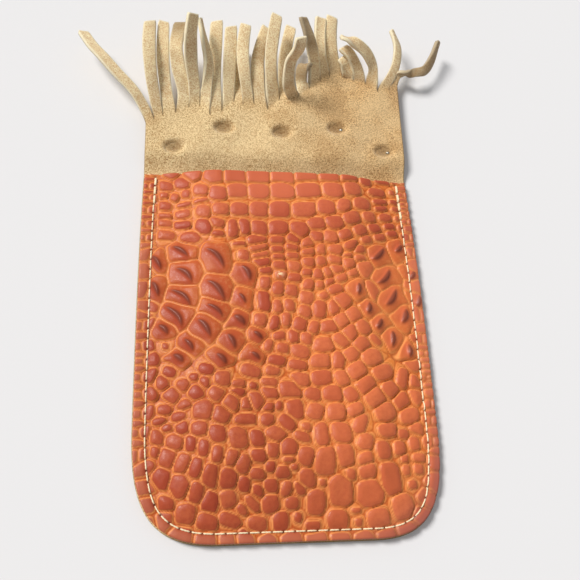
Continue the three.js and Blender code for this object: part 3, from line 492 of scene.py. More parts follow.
def embossing(places):
    """Relief over the groove floor, in millimetres, and how much of each dye and each painted
    shade and highlight a place takes.

    The scales' lines wander by waves in x and y. A plain or keeled scale's slope runs along its
    border, and a formed scale's slope ends at a rounded box, |u/a|^3 + |v/b|^3 = 1. Tiles near
    the mouth and horny plates are flatter and have crisper corners. The colours lie in bands: the
    shoulder at the top's edge, a pale ring that is partly the leather's own and partly painted
    highlight; the foot under the slope and the crease, both darkened as painted shade; and the
    brim beyond the slope.
    """
    x, y = places.T
    waved = places + wander * np.stack([
        np.sin(y / 3.1 + 0.7) + 0.6 * np.sin(x / 2.3 + y / 5.7),
        np.sin(x / 2.9 - 1.1) + 0.6 * np.sin(y / 2.1 - x / 6.1),
    ], axis=1)
    tiles = field(places, *tile_field, 2)
    horn = np.maximum(field(places, *left_horns, 4), field(places, *right_horns, 4))
    crisp = np.maximum(tiles, horn)
    first, soft = own_scale(waved, corner_rounding - 0.15 * crisp)
    keeled = first >= first_keeled
    formed = (first >= first_formed) & ~keeled

    local = waved - middles[first]
    along, across = turned(local, turns[first])
    half = halves[first]
    boxed = (np.abs(along / half[:, 0]) ** 3 + np.abs(across / half[:, 1]) ** 3) ** (1 / 3)
    to_box = (1 - boxed) * np.sqrt(half.prod(1))
    inset = np.clip(inset_share * room[first], least_inset, most_inset)
    inset = inset * (1 - 0.45 * crisp - 0.2 * keeled)
    inside = np.where(formed, np.minimum(to_box, soft - 0.25), soft - inset)
    step = slope_half + 0.13 * horn
    climb = smooth((inside + step) / (2 * step))
    top = (top_height - 0.25 * tiles - 0.55 * horn) * scale_height[first]
    crown = crown_height * (1 - 0.7 * tiles) * smooth(inside / crown_reach)
    tilt = (local * scale_tilt[first]).sum(1)
    ring = formed * bell(inside + ring_out, ring_width)
    keel, near_keel = keel_of(np.where(keeled, first - first_keeled, 0), local)
    keel = keeled * keel
    height = climb * (top + crown + tilt) + brim_height * smooth((soft - 0.05) / 0.5)
    height += ring_height * ring + keel_height * keel * smooth((inside + 0.4) / 0.8)
    dyes_and_painted_light = {
        "top_dye": smooth((inside + 0.75 * step) / (1.5 * step)) * (1 - keeled * (1 - near_keel)),
        "keel_dye": keel,
        "scale_tint": scale_tint[first] * (1 - 0.8 * keeled),
        "tile_dye": tiles,
        # Partly painted highlight: a pale ring at the top's edge, over the leather's own paler edge.
        "shoulder": np.maximum(bell(inside + 0.12, 0.25), 0.7 * ring),
        # Painted shade: dark at the foot of the slope.
        "foot": bell(inside + step + 0.12, 0.27) * (1 - 0.5 * tiles),
        # Painted shade: dark in the crease between scales.
        "crease": bell(soft, 0.32) * (1 - 0.3 * tiles),
        "brim": bell(soft - 0.6, 0.3) * (1 - climb),
    }
    return height, dyes_and_painted_light


# Marks of the making: the leather is pressed down along the seam and at its holes, the embossing
# fades towards the rim, and the cut edge is rounded over by burnishing. One nick is worn pale.
press_depth, press_width = 0.28, 1.1
hole_depth, hole_radius = 0.25, 0.55
burnish_reach, burnish_depth = 0.9, 0.75
nick_field = (-2.7, 1.5), (30.3, 1.2)


def front_face(places):
    """Height of the front's outer face: the swell of the pocket, the embossing, the stitch line
    pressed into it, and the edge rounded over as a quarter circle. The colour is darker at the
    rim on the right and in the right corner, partly the edge's own purplish tone and partly
    painted shade on the side turned from the lamp. The rim on the left is paler, a painted
    highlight. Low down on the left the colour is deeper, partly the leather's own tone and
    partly painted shade, and towards the middle and the right, away from the mouth, it is paler,
    painted light. The needle holes are dark, painted shade."""
    x, y = places.T
    to_edge = distance_to(fence, places)
    inwards = to_edge - seam_margin_at(y)
    relief, dyes_and_painted_light = embossing(places)
    pressed = bell(inwards, press_width) * (y < half_length)
    hole = bell(distance_to_points(needle_holes, places), hole_radius)
    to_rim = np.minimum(to_edge, half_length - y)
    faded = 1 - 0.45 * (1 - smooth(inwards / 4))
    burnish = 1 - np.sqrt(1 - np.clip(1 - to_rim / burnish_reach, 0, 1) ** 2)
    height = front_inside + leather_thickness + pocket_swell(inwards) + relief * faded
    height -= press_depth * pressed + hole_depth * hole + burnish_depth * burnish

    # Painted shade: the rim on the right and the right corner are darkened on the side turned from
    # the lamp, over the edge's own purplish tone.
    at_rim = 1 - smooth((to_edge - 1.5) / 3.6)
    shaded_side = smooth((x - 10) / 45) * (0.4 + 0.6 * smooth((-10 - y) / 60))
    corner = smooth((x - 20) / 35) * smooth((-40 - y) / 35)
    into_corner = 0.6 * corner * (1 - smooth((to_edge - 2) / 14))
    # Painted shade: dark in the needle holes.
    dyes_and_painted_light["hole_painted_shade"] = hole
    dyes_and_painted_light["nick"] = field(places, *nick_field, 2)
    # Darker low down on the left: partly the leather's own tone, partly painted shade.
    dyes_and_painted_light["deep_tone_and_painted_shade"] = smooth((15 - 1.2 * x - y) / 90)
    # Painted light: paler towards the middle and the right, away from the mouth.
    dyes_and_painted_light["painted_light_middle_right"] = smooth((x + 25) / 60) * smooth((62 - y) / 30)
    dyes_and_painted_light["rim_tone_and_painted_shade"] = np.maximum(at_rim * shaded_side, into_corner)
    # Painted highlight: the rim on the left is paler, fading out towards the mouth.
    dyes_and_painted_light["painted_rim_highlight"] = at_rim * (1 - shaded_side) * smooth((70 - y) / 30)
    return height, dyes_and_painted_light


def even_with_fine_ends(length, cells):
    """Shares from 0 to 1, even but for a few narrow steps at both ends for a rounded edge."""
    ends = np.array([0, 0.18, 0.42, 0.8])
    first_even = 1.25
    inner = np.linspace(first_even, length - first_even, cells + 1 - 2 * len(ends))
    return np.concatenate([ends, inner, length - ends[::-1]]) / length


front_columns, front_rows = 264, 344
across = even_with_fine_ends(2 * half_width, front_columns)
up = even_with_fine_ends(2 * half_length, front_rows)
mouth = np.array([outline[0], outline[-1]])
plan = ruled_patch(outline_left, outline_bottom, outline_right, mouth, across, up)
flat_plan = plan.reshape(-1, 2)
face_height, dyes_and_painted_light = front_face(flat_plan)
top_points = np.column_stack([flat_plan, face_height])
top_index = np.arange(len(flat_plan)).reshape(plan.shape[:2])

# The inner face is a grid with one cell for four by four outside, a little inside the outline.
# The edge's wall hangs from the outer rim, and a fan of triangles joins it to the inner rim.
coarse = 4
inner_share = 0.992
inner_plan = plan[::coarse, ::coarse]
centre = inner_plan.mean((0, 1))
inner_flat = (centre + (inner_plan - centre) * inner_share).reshape(-1, 2)
inner_points = np.column_stack([inner_flat, front_inside + pocket_swell(inside_seam(inner_flat))])
top_rim = rim_of(top_index)
wall_plan = top_points[top_rim, :2]
wall_points = np.column_stack([wall_plan, front_inside + pocket_swell(inside_seam(wall_plan))])
wall_index = len(top_points) + np.arange(len(wall_points))
inner_index = np.arange(len(inner_points)).reshape(inner_plan.shape[:2])
inner_index += len(top_points) + len(wall_points)
inner_rim = rim_of(inner_index)
wall = np.stack([np.roll(top_rim, -1), top_rim, wall_index, np.roll(wall_index, -1)], axis=1)
fine = wall_index.reshape(-1, coarse)
after = np.roll(fine[:, 0], -1)
inner_after = np.roll(inner_rim, -1)
fan = np.concatenate([np.stack(corners, axis=1) for corners in (
    (fine[:, 1], fine[:, 0], inner_rim), (fine[:, 2], fine[:, 1], inner_rim),
    (fine[:, 3], fine[:, 2], inner_after), (after, fine[:, 3], inner_after),
    (fine[:, 2], inner_rim, inner_after),
)])
raw_inside = 0.6
plain_below = np.zeros(len(wall_points) + len(inner_points))
dyes_and_painted_light = {label: np.append(numbers, plain_below) for label, numbers in dyes_and_painted_light.items()}
dyes_and_painted_light["cut_edge"] = np.concatenate([
    np.zeros(len(top_points)), np.ones(len(wall_points)), np.full(len(inner_points), raw_inside),
])
front = new_piece(
    "embossed_front",
    np.vstack([top_points, wall_points, inner_points]),
    [quads(top_index), wall, fan, quads(inner_index)[:, ::-1]],
    dyes_and_painted_light,
)


def colour(code):
    """Linear colour of a web colour such as B4553A, by the sRGB curve."""
    levels = np.array([int(code[i:i + 2], 16) for i in (0, 2, 4)]) / 255
    linear = np.where(levels > 0.04045, ((levels + 0.055) / 1.055) ** 2.4, levels / 12.92)
    return (*linear, 1.0)


class Finish:
    """A material that is being made: it adds nodes and joins them up."""

    def __init__(self, name):
        self.material = bpy.data.materials.new(name)
        self.material.use_nodes = True
        self.tree = self.material.node_tree
        self.shader = self.tree.nodes["Principled BSDF"]
        self.place = self.add("ShaderNodeTexCoord").outputs["Object"]

    def add(self, kind, **settings):
        """A new node with its settings."""
        node = self.tree.nodes.new(kind)
        for label, value in settings.items():
            setattr(node, label, value)
        return node

    def join(self, value, socket):
        """Puts a number, a colour or another node's output into a socket."""
        if isinstance(value, bpy.types.NodeSocket):
            self.tree.links.new(value, socket)
        else:
            socket.default_value = value

    def coat(self, label, value):
        """Gives the surface a colour, a roughness or another of the shader's properties."""
        self.join(value, self.shader.inputs[label])

    def held(self, label):
        """A value that the mesh holds at its points."""
        return self.add("ShaderNodeAttribute", attribute_name=label).outputs["Fac"]

    def grain(self, size, detail=3, roughness=0.55, squeeze=None):
        """Noise whose patches are about size millimetres across, squeezed along the axes."""
        place = self.place
        if squeeze:
            mapping = self.add("ShaderNodeMapping")
            mapping.inputs["Scale"].default_value = squeeze
            self.join(place, mapping.inputs["Vector"])
            place = mapping.outputs["Vector"]
        noise = self.add("ShaderNodeTexNoise")
        noise.inputs["Scale"].default_value = 1 / (size * mm)
        noise.inputs["Detail"].default_value = detail
        noise.inputs["Roughness"].default_value = roughness
        self.join(place, noise.inputs["Vector"])
        return noise.outputs["Fac"]

    def ramp(self, value, low, high, to_low=0.0, to_high=1.0):
        """Spreads the range from low to high over another range, and holds its ends."""
        spread = self.add("ShaderNodeMapRange", interpolation_type="SMOOTHSTEP")
        for socket, number in zip(spread.inputs, (value, low, high, to_low, to_high)):
            self.join(number, socket)
        return spread.outputs["Result"]

    def math(self, operation, first, second):
        """Two values worked into one, such as their product."""
        node = self.add("ShaderNodeMath", operation=operation)
        self.join(first, node.inputs[0])
        self.join(second, node.inputs[1])
        return node.outputs["Value"]

    def mix(self, share, first, second):
        """Blend of two colours: the second one by a share."""
        node = self.add("ShaderNodeMix", data_type="RGBA")
        for place, value in zip((0, 6, 7), (share, first, second)):
            self.join(value, node.inputs[place])
        return node.outputs[2]

    def tinted(self, base, label, code, strength=1.0):
        """A base colour with another colour laid on it, as strong as a value held by the mesh says.
        It lays on dyes, and also painted light and painted shade.
        """
        share = self.math("MULTIPLY", self.held(label), strength)
        return self.mix(share, base, colour(code))

    def bump(self, height, distance, strength, under=None):
        """Fine relief, some millimetres high, on top of another bump where there is one."""
        node = self.add("ShaderNodeBump")
        node.inputs["Strength"].default_value = strength
        node.inputs["Distance"].default_value = distance * mm
        self.join(height, node.inputs["Height"])
        if under:
            self.join(under, node.inputs["Normal"])
        return node.outputs["Normal"]


def embossed_leather():
    """Orange ground in the grooves, red-brown rubbed on the scales, darker at keels and rim. Painted
    shade darkens the slopes' feet, the creases, the needle holes, the right rim and, in part, the
    lower left; painted light pales the middle and right, the left rim, specks on the tops and, in
    part, the scales' shoulders.
    """
    leather = Finish("embossed_leather")
    patches = leather.grain(14, detail=2)
    mottle = leather.grain(1.6, detail=4)
    pores = leather.grain(0.35, detail=2)
    ground = leather.mix(leather.ramp(patches, 0.35, 0.65), colour("CF6429"), colour("DA762E"))
    ground = leather.mix(leather.ramp(mottle, 0.45, 0.7), ground, colour("E88F4E"))
    # Painted light: the ground is paler towards the middle and the right.
    ground = leather.tinted(ground, "painted_light_middle_right", "FF9A4C", 0.38)
    scale = leather.mix(leather.held("scale_tint"), colour("B04A30"), colour("CC6840"))
    scale = leather.mix(leather.ramp(mottle, 0.35, 0.7, 0, 0.5), scale, colour("A9412A"))
    # Painted highlight: pale pinkish specks on the scale tops.
    scale = leather.mix(leather.ramp(pores, 0.66, 0.74, 0, 0.4), scale, colour("E8A080"))
    scale = leather.tinted(scale, "tile_dye", "D66E4A", 0.85)
    # Painted highlight: pale at the rim on the left.
    scale = leather.tinted(scale, "painted_rim_highlight", "D88A6C", 0.45)
    # Painted light: the scales too are paler towards the middle and the right.
    scale = leather.tinted(scale, "painted_light_middle_right", "F0844E", 0.38)
    face = leather.mix(leather.held("top_dye"), ground, scale)
    # Darker low down on the left: partly the leather's own tone, partly painted shade.
    face = leather.tinted(face, "deep_tone_and_painted_shade", "8E3618", 0.36)
    # Painted shade: dark at the foot of each scale's slope.
    face = leather.tinted(face, "foot", "923F20", 0.62)
    face = leather.tinted(face, "brim", "F49C58", 0.35)
    # Painted shade: dark in the creases between scales.
    face = leather.tinted(face, "crease", "AE4718", 0.6)
    # Pale shoulders: partly the leather's own paler edge and partly painted highlight.
    face = leather.tinted(face, "shoulder", "FFAC64", 0.55)
    keel = leather.ramp(leather.held("keel_dye"), 0.1, 0.8, 0, 0.8)
    face = leather.mix(keel, face, colour("74392A"))
    # Painted shade over the edge's own purplish tone: the rim on the right and the right corner are
    # darker.
    face = leather.tinted(face, "rim_tone_and_painted_shade", "96564E", 0.7)
    nick = leather.math("MULTIPLY", leather.held("nick"), leather.ramp(mottle, 0.38, 0.56))
    face = leather.mix(nick, face, colour("FFE2B4"))
    # Painted shade: the needle holes are dark.
    face = leather.tinted(face, "hole_painted_shade", "4A2A1C")
    face = leather.tinted(face, "cut_edge", "A8714C")
    in_groove = leather.math("SUBTRACT", 1.05, leather.held("top_dye"))
    rough = leather.bump(leather.math("MULTIPLY", mottle, in_groove), 0.3, 0.4)
    leather.coat("Base Color", face)
    leather.coat("Roughness", leather.ramp(mottle, 0.3, 0.7, 0.3, 0.5))
    leather.coat("Specular IOR Level", 0.24)
    leather.coat("Normal", leather.bump(pores, 0.09, 0.7, rough))
    return leather.material


front.data.materials.append(embossed_leather())
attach(front, "root")
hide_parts("front_panel")


# Back and flap: one hide of split suede, tan and napped on both faces. It carries the front panel,
# runs on past the mouth over five studs, and its end is cut by hand into a fringe.
suede_thickness = 1.8
back_margin = 0.5
flap_width = 126
flap_centre = -0.5
left_flap_length = 26
right_flap_length = 54.5
flap_rise = 4.2
flap_rise_start = 1.5
flap_rise_length = 12
dimple_depth = 1.9
dimple_floor = 4.2
dimple_edge = 1.9
dimple_pit = 0.9
pit_radius = 2.2
dimple_oval = np.array([1, 1.35])
slit_width = 0.4
root_lead = 1
root_embed = 2.5
strand_reach = 40
strand_width = 6
strand_columns = 8
strand_row = 0.85
strand_sway = 0.12
strand_unevenness = 0.05
strand_cup = 0.5
strand_ripple = 0.35
tip_slant = 0.9
tip_rounding = 0.16

# Places in percent of the flap: across from its left edge, and along from the mouth.
stud_places = np.array([(10.7, 26.9), (29.5, 48.5), (52, 46), (74, 52.8), (92.2, 30.6)])
slit_ends = np.array([
    (3, 52), (6.3, 57.5), (11.2, 60.3), (16.1, 67.2), (20.3, 69.8), (24.2, 59.9), (28.8, 64.7),
    (33.5, 75.9), (37, 73.1), (41.3, 74.8), (46.7, 69.1), (51.3, 79.4), (54.8, 78.8), (59, 83.8),
    (63.6, 93.1), (68.3, 102.8), (72.3, 109.6), (77.6, 109.6), (82.4, 104.9), (87.2, 101.2),
    (91.5, 92.8), (96.4, 95.9),
])

# Each strand: its tip's width, its twist in radians, and the points that it lies along in percent
# of its reach, across and along from its root and up from the back's underside.
strands = [
    (0.8, 0.3, [(-8.5, 21.9, 17.5), (-20.3, 39.4, 25), (-38, 56.9, 32.5), (-55, 76.9, 35),
                 (-70, 95.4, 32.5), (-82.2, 116.4, 27.5)]),
    (0.96, 0.2, [(-4.5, 24.5, 20), (-9.5, 53.3, 35), (-12.2, 84.3, 45), (-11.7, 115.8, 50)]),
    (0.96, 0, [(-4.6, 32, 20), (-8.6, 66, 32.5), (-9.1, 89.5, 40), (-8.4, 114.5, 42.5)]),
    (1.08, -0.3, [(1.5, 26.8, 20), (-6, 55.8, 35), (-8.8, 75.5, 45), (-3.3, 104.5, 50)]),
    (1, 0.5, [(-0.9, 24.5, 25), (-5.1, 45.2, 45), (-5.6, 61.3, 70), (-3.6, 80.5, 85)]),
    (0.88, 1.3, [(1.9, 35.5, 25), (2.6, 60.7, 40), (-2.6, 80.5, 55), (-8.9, 103.5, 62.5)]),
    (0.96, 0, [(-1.5, 39.8, 20), (-1.7, 69.2, 30), (-1, 93.2, 37.5), (0.3, 118.8, 40)]),
    (1, 0.1, [(0.9, 40, 22.5), (1.6, 67.5, 35), (2.6, 101.5, 45)]),
    (1.04, 0, [(0, 36.8, 13), (0.3, 65, 15), (0.5, 92.7, 15)]),
    (0.92, -0.3, [(-5.4, 31.5, 30), (-8.4, 58.5, 42.5), (-4.6, 90.2, 50)]),
    (1, 0.2, [(-4, 28.7, 22.5), (-4, 60.5, 30), (1, 84, 35), (7.7, 104.8, 35)]),
    (0.96, 0, [(-4.4, 31.7, 30), (-5.4, 57, 45), (-2.1, 83.8, 55), (1.9, 105.5, 60)]),
    (1, 0, [(1.6, 38.5, 15), (4.1, 69, 25), (11.1, 101.2, 30)]),
    (0.92, 0.4, [(-8.5, 8.7, 35), (-8.5, 23.2, 60), (-1.7, 28.2, 80), (-0.5, 36, 90)]),
    (0.92, -0.5, [(-4, 22.7, 22.5), (-1, 34, 30), (8.5, 38, 27.5)]),
    (0.88, 0.7, [(-3.4, 28.7, 35), (-13.1, 41, 60), (-22.1, 59, 75)]),
    (0.96, 0, [(-8.4, 25.7, 32.5), (-9.1, 48.2, 42.5), (-7.4, 70.5, 47.5)]),
    (0.96, 0, [(-8.6, 25.2, 32.5), (-9.4, 43.3, 42.5), (-7.9, 64, 47.5)]),
    (0.88, 0.2, [(-4.7, 14.2, 25), (-11.7, 22.3, 30)]),
    (0.88, 0.3, [(-5.6, 17.3, 25), (-14.9, 27.3, 35), (-25.6, 36.2, 40)]),
    (0.84, 0.6, [(-0.5, 26.2, 30), (-12.5, 38, 45), (-29.5, 44, 55), (-45.5, 50.2, 55)]),
    (0.74, 0.8, [(10.8, 21.7, 20), (17.2, 37, 25), (19.5, 59.7, 30), (14.5, 86, 32.5)]),
    (0.76, 1, [(7.6, 20, 17.5), (22.4, 22, 22.5), (40.4, 27.7, 22.5), (54.9, 45.8, 25),
                 (63.9, 71.5, 27.5)]),
]

flap_corner = np.array([flap_centre - flap_width / 2, half_length])
flap_size = np.array([flap_width, right_flap_length])
stud_middles = flap_corner + stud_places / 100 * flap_size
slit_path = np.vstack([
    flap_corner + (0, left_flap_length),
    flap_corner + slit_ends / 100 * flap_size,
    flap_corner + flap_size,
])


def flap_height(places):
    """Underside of the hide: it climbs past the mouth, and sinks to each stud in a round dimple
    whose floor is level, with a pit at its middle, and whose edge is a smooth step."""
    rise = flap_rise * smooth((places[:, 1] - half_length - flap_rise_start) / flap_rise_length)
    to_stud = distance_to_points(stud_middles * dimple_oval, places * dimple_oval)
    hold = 1 - smooth((to_stud - dimple_floor) / dimple_edge)
    pit = dimple_pit * bell(to_stud, pit_radius)
    return rise * (1 - hold) + (flap_rise - dimple_depth) * hold - pit


def suede_swell(places):
    """Slow soft waves of the unlined hide, none where the seam and the studs hold it."""
    x, y = places.T
    free = smooth((y - half_length - 4) / 14)
    free = free * (1 - bell(distance_to_points(stud_middles, places), 6.5))
    return free * (0.6 * np.sin(x / 9 + y / 17) + 0.4 * np.sin(x / 5.3 - y / 8 + 2))


def through(points, steps=40):
    """Curve through points: each stretch is a cubic that leaves a point along the line between
    its two neighbours, timed by the square root of the distances so that it never overshoots."""
    points = np.array(points, float)
    padded = np.vstack([2 * points[0] - points[1], points, 2 * points[-1] - points[-2]])
    times = np.sqrt(np.linalg.norm(np.diff(padded, axis=0), axis=1))
    t = np.linspace(0, 1, steps + 1)[:, None]
    pieces = []
    for number in range(len(points) - 1):
        a, b, c, d = padded[number:number + 4]
        before, here, later = times[number:number + 3]
        leave = ((b - a) / before - (c - a) / (before + here) + (c - b) / here) * here
        arrive = ((c - b) / here - (d - b) / (here + later) + (d - c) / later) * here
        pieces.append(
            (2 * t ** 3 - 3 * t ** 2 + 1) * b + (t ** 3 - 2 * t ** 2 + t) * leave
            + (3 * t ** 2 - 2 * t ** 3) * c + (t ** 3 - t ** 2) * arrive
        )
    return np.vstack([pieces[0][:1]] + [piece[1:] for piece in pieces])


# The sheet's middle surface: the back up to the mouth, then the flap up to the slits' ends. The
# stitches sit in a shallow channel, where the hide is pulled in.
channel_depth, channel_width = 0.3, 0.8
piece_starts = np.repeat(np.arange(len(strands)), strand_columns)
piece_shares = np.tile(np.arange(strand_columns) / strand_columns, len(strands))[:, None]
cut_line = slit_path[piece_starts] * (1 - piece_shares) + slit_path[piece_starts + 1] * piece_shares
cut_line = np.vstack([cut_line, slit_path[-1:]])
column_shares = (cut_line[:, 0] - cut_line[0, 0]) / flap_width
back_whole, back_left, back_bottom, back_right = pouch_outline(back_margin)
back_mouth = np.array([back_whole[0], back_whole[-1]])
finer_rows, finer_share, back_rows, flap_rows = 12, 0.055, 29, 66
back_up = np.concatenate([
    np.linspace(0, finer_share, finer_rows + 1)[:-1], np.linspace(finer_share, 1, back_rows + 1),
])
back_plan = ruled_patch(back_left, back_bottom, back_right, back_mouth, column_shares, back_up)
flap_up = np.linspace(0, 1, flap_rows + 1)[1:, None, None]
body_plan = np.vstack([back_plan, back_plan[-1] * (1 - flap_up) + cut_line * flap_up])
body_flat = body_plan.reshape(-1, 2)
in_channel = bell(inside_seam(body_flat), channel_width)
in_channel *= body_flat[:, 1] < half_length - seam_drop
body_height = flap_height(body_flat) + suede_swell(body_flat) + suede_thickness / 2
body_height += channel_depth * in_channel
body_points = np.column_stack([body_flat, body_height])
body_index = np.arange(len(body_flat)).reshape(body_plan.shape[:2])
body_cut = np.zeros(body_index.shape)
body_cut[:, [0, -1]] = 1
body_cut[0] = 1
body_cut[-1, ::strand_columns] = 1


def strand_sheet(number, root_points, rng):
    """A strand as a grid that starts at the flap's last row, the share of its length at each row,
    and its area.

    Its line leaves the flap level and square, then goes on through its own points. Its section
    turns about the line by a twist that grows smoothly, and is cupped as a parabola, rippled and
    slightly uneven in width by sines, and cut aslant and rounded at the tip. Over its first half
    it eases off the flap's last row.
    """
    tip, twist, line = strands[number]
    near_x = (slit_path[number][0] + slit_path[number + 1][0]) / 2
    near_y = min(slit_path[number][1], slit_path[number + 1][1])
    seat = np.array([[near_x, near_y - root_embed], [near_x, near_y + root_lead]])
    seat_height = flap_height(seat) + suede_thickness / 2
    lying = np.array([near_x, near_y, 0]) + np.array(line) * strand_reach / 100
    curve = through(np.vstack([np.column_stack([seat, seat_height]), lying]))
    whole = length_of(curve)
    length = whole - root_embed
    rows = int(np.ceil(length / strand_row))
    share = np.linspace(0, 1, rows + 1)
    middle = at_shares(curve, (root_embed + share * length) / whole)
    along = unit(np.gradient(middle, axis=0))
    side = unit(np.array([1.0, 0, 0]) - along[:, :1] * along)
    face = np.cross(side, along)
    sway = strand_sway * np.sin(share * 5 + number) * share
    angle = (twist * smooth(share) + sway)[:, None]
    side_turned = side * np.cos(angle) - face * np.sin(angle)
    face_turned = face * np.cos(angle) + side * np.sin(angle)

    root_width = slit_path[number + 1][0] - slit_path[number][0] - slit_width
    width = root_width + (tip * strand_width - root_width) * smooth(2 * share)
    uneven = np.sin(share * rng.uniform(6, 10) + rng.uniform(0, 6)) * smooth(4 * share)
    width = width * (1 + strand_unevenness * uneven)
    cup = rng.uniform(-strand_cup, strand_cup) * smooth(2 * share)[:, None]
    slant = rng.uniform(-tip_slant, tip_slant)
    ripple = strand_ripple * np.sin(share * rng.uniform(7, 12) + number) * smooth(3 * share)
    to_tip = ((1 - share) * length)[:, None]
    at_side = np.linspace(-1, 1, strand_columns + 1)
    round_tip = 1 - tip_rounding * (1 - smooth(to_tip / 1.6)) * at_side ** 2
    spread = (width[:, None] / 2) * at_side * round_tip
    raised = cup * at_side ** 2 + ripple[:, None]
    aslant = slant * at_side * (1 - smooth(to_tip / 5))
    grid = middle[:, None] + side_turned[:, None] * spread[..., None]
    grid = grid + face_turned[:, None] * raised[..., None] + along[:, None] * aslant[..., None]
    slip = root_points - grid[0]
    grid = grid + slip * (1 - smooth(share / 0.5))[:, None, None]
    return grid, share, length * width.mean()


# The strands go on from the flap's last row. A few of them, numbered from 0 at the left, are
# darkened from a share of their length on, as painted shade where they show their shaded face.
painted_shade_from = {3: 0.72, 14: 0.3, 15: 0.45, 22: 0.1}
rng = np.random.default_rng(11)
hide_points = [body_points]
hide_faces = [quads(body_index)]
edge_values = [body_cut.ravel()]
fringe_values = [np.zeros(len(body_points))]
painted_shade_values = [np.zeros(len(body_points))]
point_count = len(body_points)
for number in range(len(strands)):
    root = body_index[-1, number * strand_columns:(number + 1) * strand_columns + 1]
    grid, share, area = strand_sheet(number, body_points[root], rng)
    new = grid[1:].reshape(-1, 3)
    new_index = point_count + np.arange(len(new)).reshape(-1, strand_columns + 1)
    strand_cut = np.zeros(new_index.shape)
    strand_cut[:, [0, -1]] = 1
    strand_cut[-1] = 1
    painted_shade = smooth((share[1:] - painted_shade_from.get(number, 1)) / 0.25)
    hide_points.append(new)
    hide_faces.append(quads(np.vstack([root, new_index])))
    edge_values.append(strand_cut.ravel())
    fringe_values.append(np.repeat(smooth(share[1:] * 5), strand_columns + 1))
    painted_shade_values.append(np.repeat(painted_shade, strand_columns + 1))
    point_count += len(new)

# Each dimple is darkened a little past its middle, partly by wear and partly as painted shade on
# its far wall, and the hide is darkened towards the right as painted shade.
hide_places = np.vstack(hide_points)
darkest = (stud_middles + (0, 0.7)) * dimple_oval
to_dimple = distance_to_points(darkest, hide_places[:, :2] * dimple_oval)
in_dimple = 1 - smooth((to_dimple - 2.8) / 2.4)
hide = new_piece("suede_hide", hide_places, hide_faces, {
    "cut_edge": np.concatenate(edge_values),
    "fringe": np.concatenate(fringe_values),
    "wear_and_painted_shade": np.maximum(in_dimple, np.concatenate(painted_shade_values)),
    "painted_shade_right": smooth((hide_places[:, 0] + 30) / 80),
})
wall = hide.modifiers.new("thickness", "SOLIDIFY")
wall.thickness = suede_thickness * mm
wall.offset = 0
wall.use_even_offset = False


def napped_suede():
    """Tan split hide: a short nap that is lighter and darker in tufts, and pale cut edges on the
    strands, partly the cut's own colour and partly painted highlight. Painted light makes the
    strands lighter; painted shade darkens the hide towards the right, the body's cut edges,
    parts of some strands and, with wear, the dimples.
    """
    suede = Finish("napped_suede")
    tufts = suede.grain(0.62, detail=4, roughness=0.75)
    strokes = suede.grain(2.6, detail=3)
    patches = suede.grain(16, detail=2)
    # Painted shade: the hide darkens towards the right.
    painted_shade_right = suede.math("MULTIPLY", suede.held("painted_shade_right"), 0.85)
    dark = suede.mix(painted_shade_right, colour("A87A44"), colour("8C6234"))
    light = suede.mix(painted_shade_right, colour("FFE4AE"), colour("EBC186"))
    # Painted light: the strands are made lighter than the body.
    dark = suede.tinted(dark, "fringe", "E2B986", 0.8)
    light = suede.tinted(light, "fringe", "FFF3CA", 0.8)
    base = suede.mix(suede.ramp(tufts, 0.38, 0.58), dark, light)
    base = suede.mix(suede.ramp(strokes, 0.4, 0.7, 0, 0.35), base, colour("D0A874"))
    base = suede.mix(suede.ramp(patches, 0.4, 0.65, 0, 0.3), base, colour("F4D8A6"))
    base = suede.mix(suede.ramp(patches, 0.5, 0.34, 0, 0.3), base, colour("B48A58"))
    # Cut edges: pale on the strands, partly the cut's own colour and partly painted highlight, and
    # dark brown on the body's sides, painted shade on the edge's thickness.
    edge = suede.mix(suede.held("fringe"), colour("8C6E44"), colour("FFF4D2"))
    base = suede.mix(suede.math("MULTIPLY", suede.held("cut_edge"), 0.75), base, edge)
    # The dimples are darkened partly by wear and partly as painted shade, and parts of some strands
    # as painted shade.
    base = suede.tinted(base, "wear_and_painted_shade", "7E5C36", 0.6)
    nap = suede.bump(suede.grain(2.2, detail=3), 0.5, 0.35)
    suede.coat("Base Color", base)
    suede.coat("Roughness", 0.95)
    suede.coat("Specular IOR Level", 0.15)
    suede.coat("Sheen Weight", 0.25)
    suede.coat("Sheen Roughness", 0.5)
    suede.coat("Normal", suede.bump(tufts, 0.5, 1.0, nap))
    return suede.material


hide.data.materials.append(napped_suede())
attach(hide, "root")
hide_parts("back_and_fringed_flap")


# Needle thread: cream two-ply linen run through both hides on a sewing machine. It shows as short
# dashes on the front, dips into a needle hole at each end, and is sewn twice at both mouth ends.
thread_radius = 0.31
thread_twist = 0.42
thread_sides = 10
dash_sections = 14
needle_dive = 0.2
needle_drop = 1.1
locked_stitches = (3, 4)
locked_aside, locked_over = 0.4, 0.12


def capped_tube(ring):
    """Faces of a tube from its rings of points, closed with a cap at both ends."""
    index = np.arange(ring.shape[0] * ring.shape[1]).reshape(ring.shape[:2])
    closed = np.column_stack([index, index[:, 0]])
    return [quads(closed), index[:1, ::-1], index[-1:]]


def twisted_thread(line, radius, around):
    """Tube along a line whose section has two lobes, at radius r(1 + 0.2 cos 2a), that turn round
    the line as it runs, like two plies."""
    along = unit(np.gradient(line, axis=0))
    side = unit(np.cross(along, (0, 0, 1.0)))
    face = np.cross(side, along)
    run = np.append(0, np.cumsum(np.linalg.norm(np.diff(line, axis=0), axis=1)))
    angle = np.arange(around) * 2 * np.pi / around
    turn = 2 * np.pi * thread_twist * run[:, None]
    lobes = radius * (1 + 0.2 * np.cos(2 * (angle - turn)))
    outwards = side[:, None] * np.cos(angle)[:, None] + face[:, None] * np.sin(angle)[:, None]
    ring = line[:, None] + lobes[..., None] * outwards
    return ring.reshape(-1, 3), capped_tube(ring)


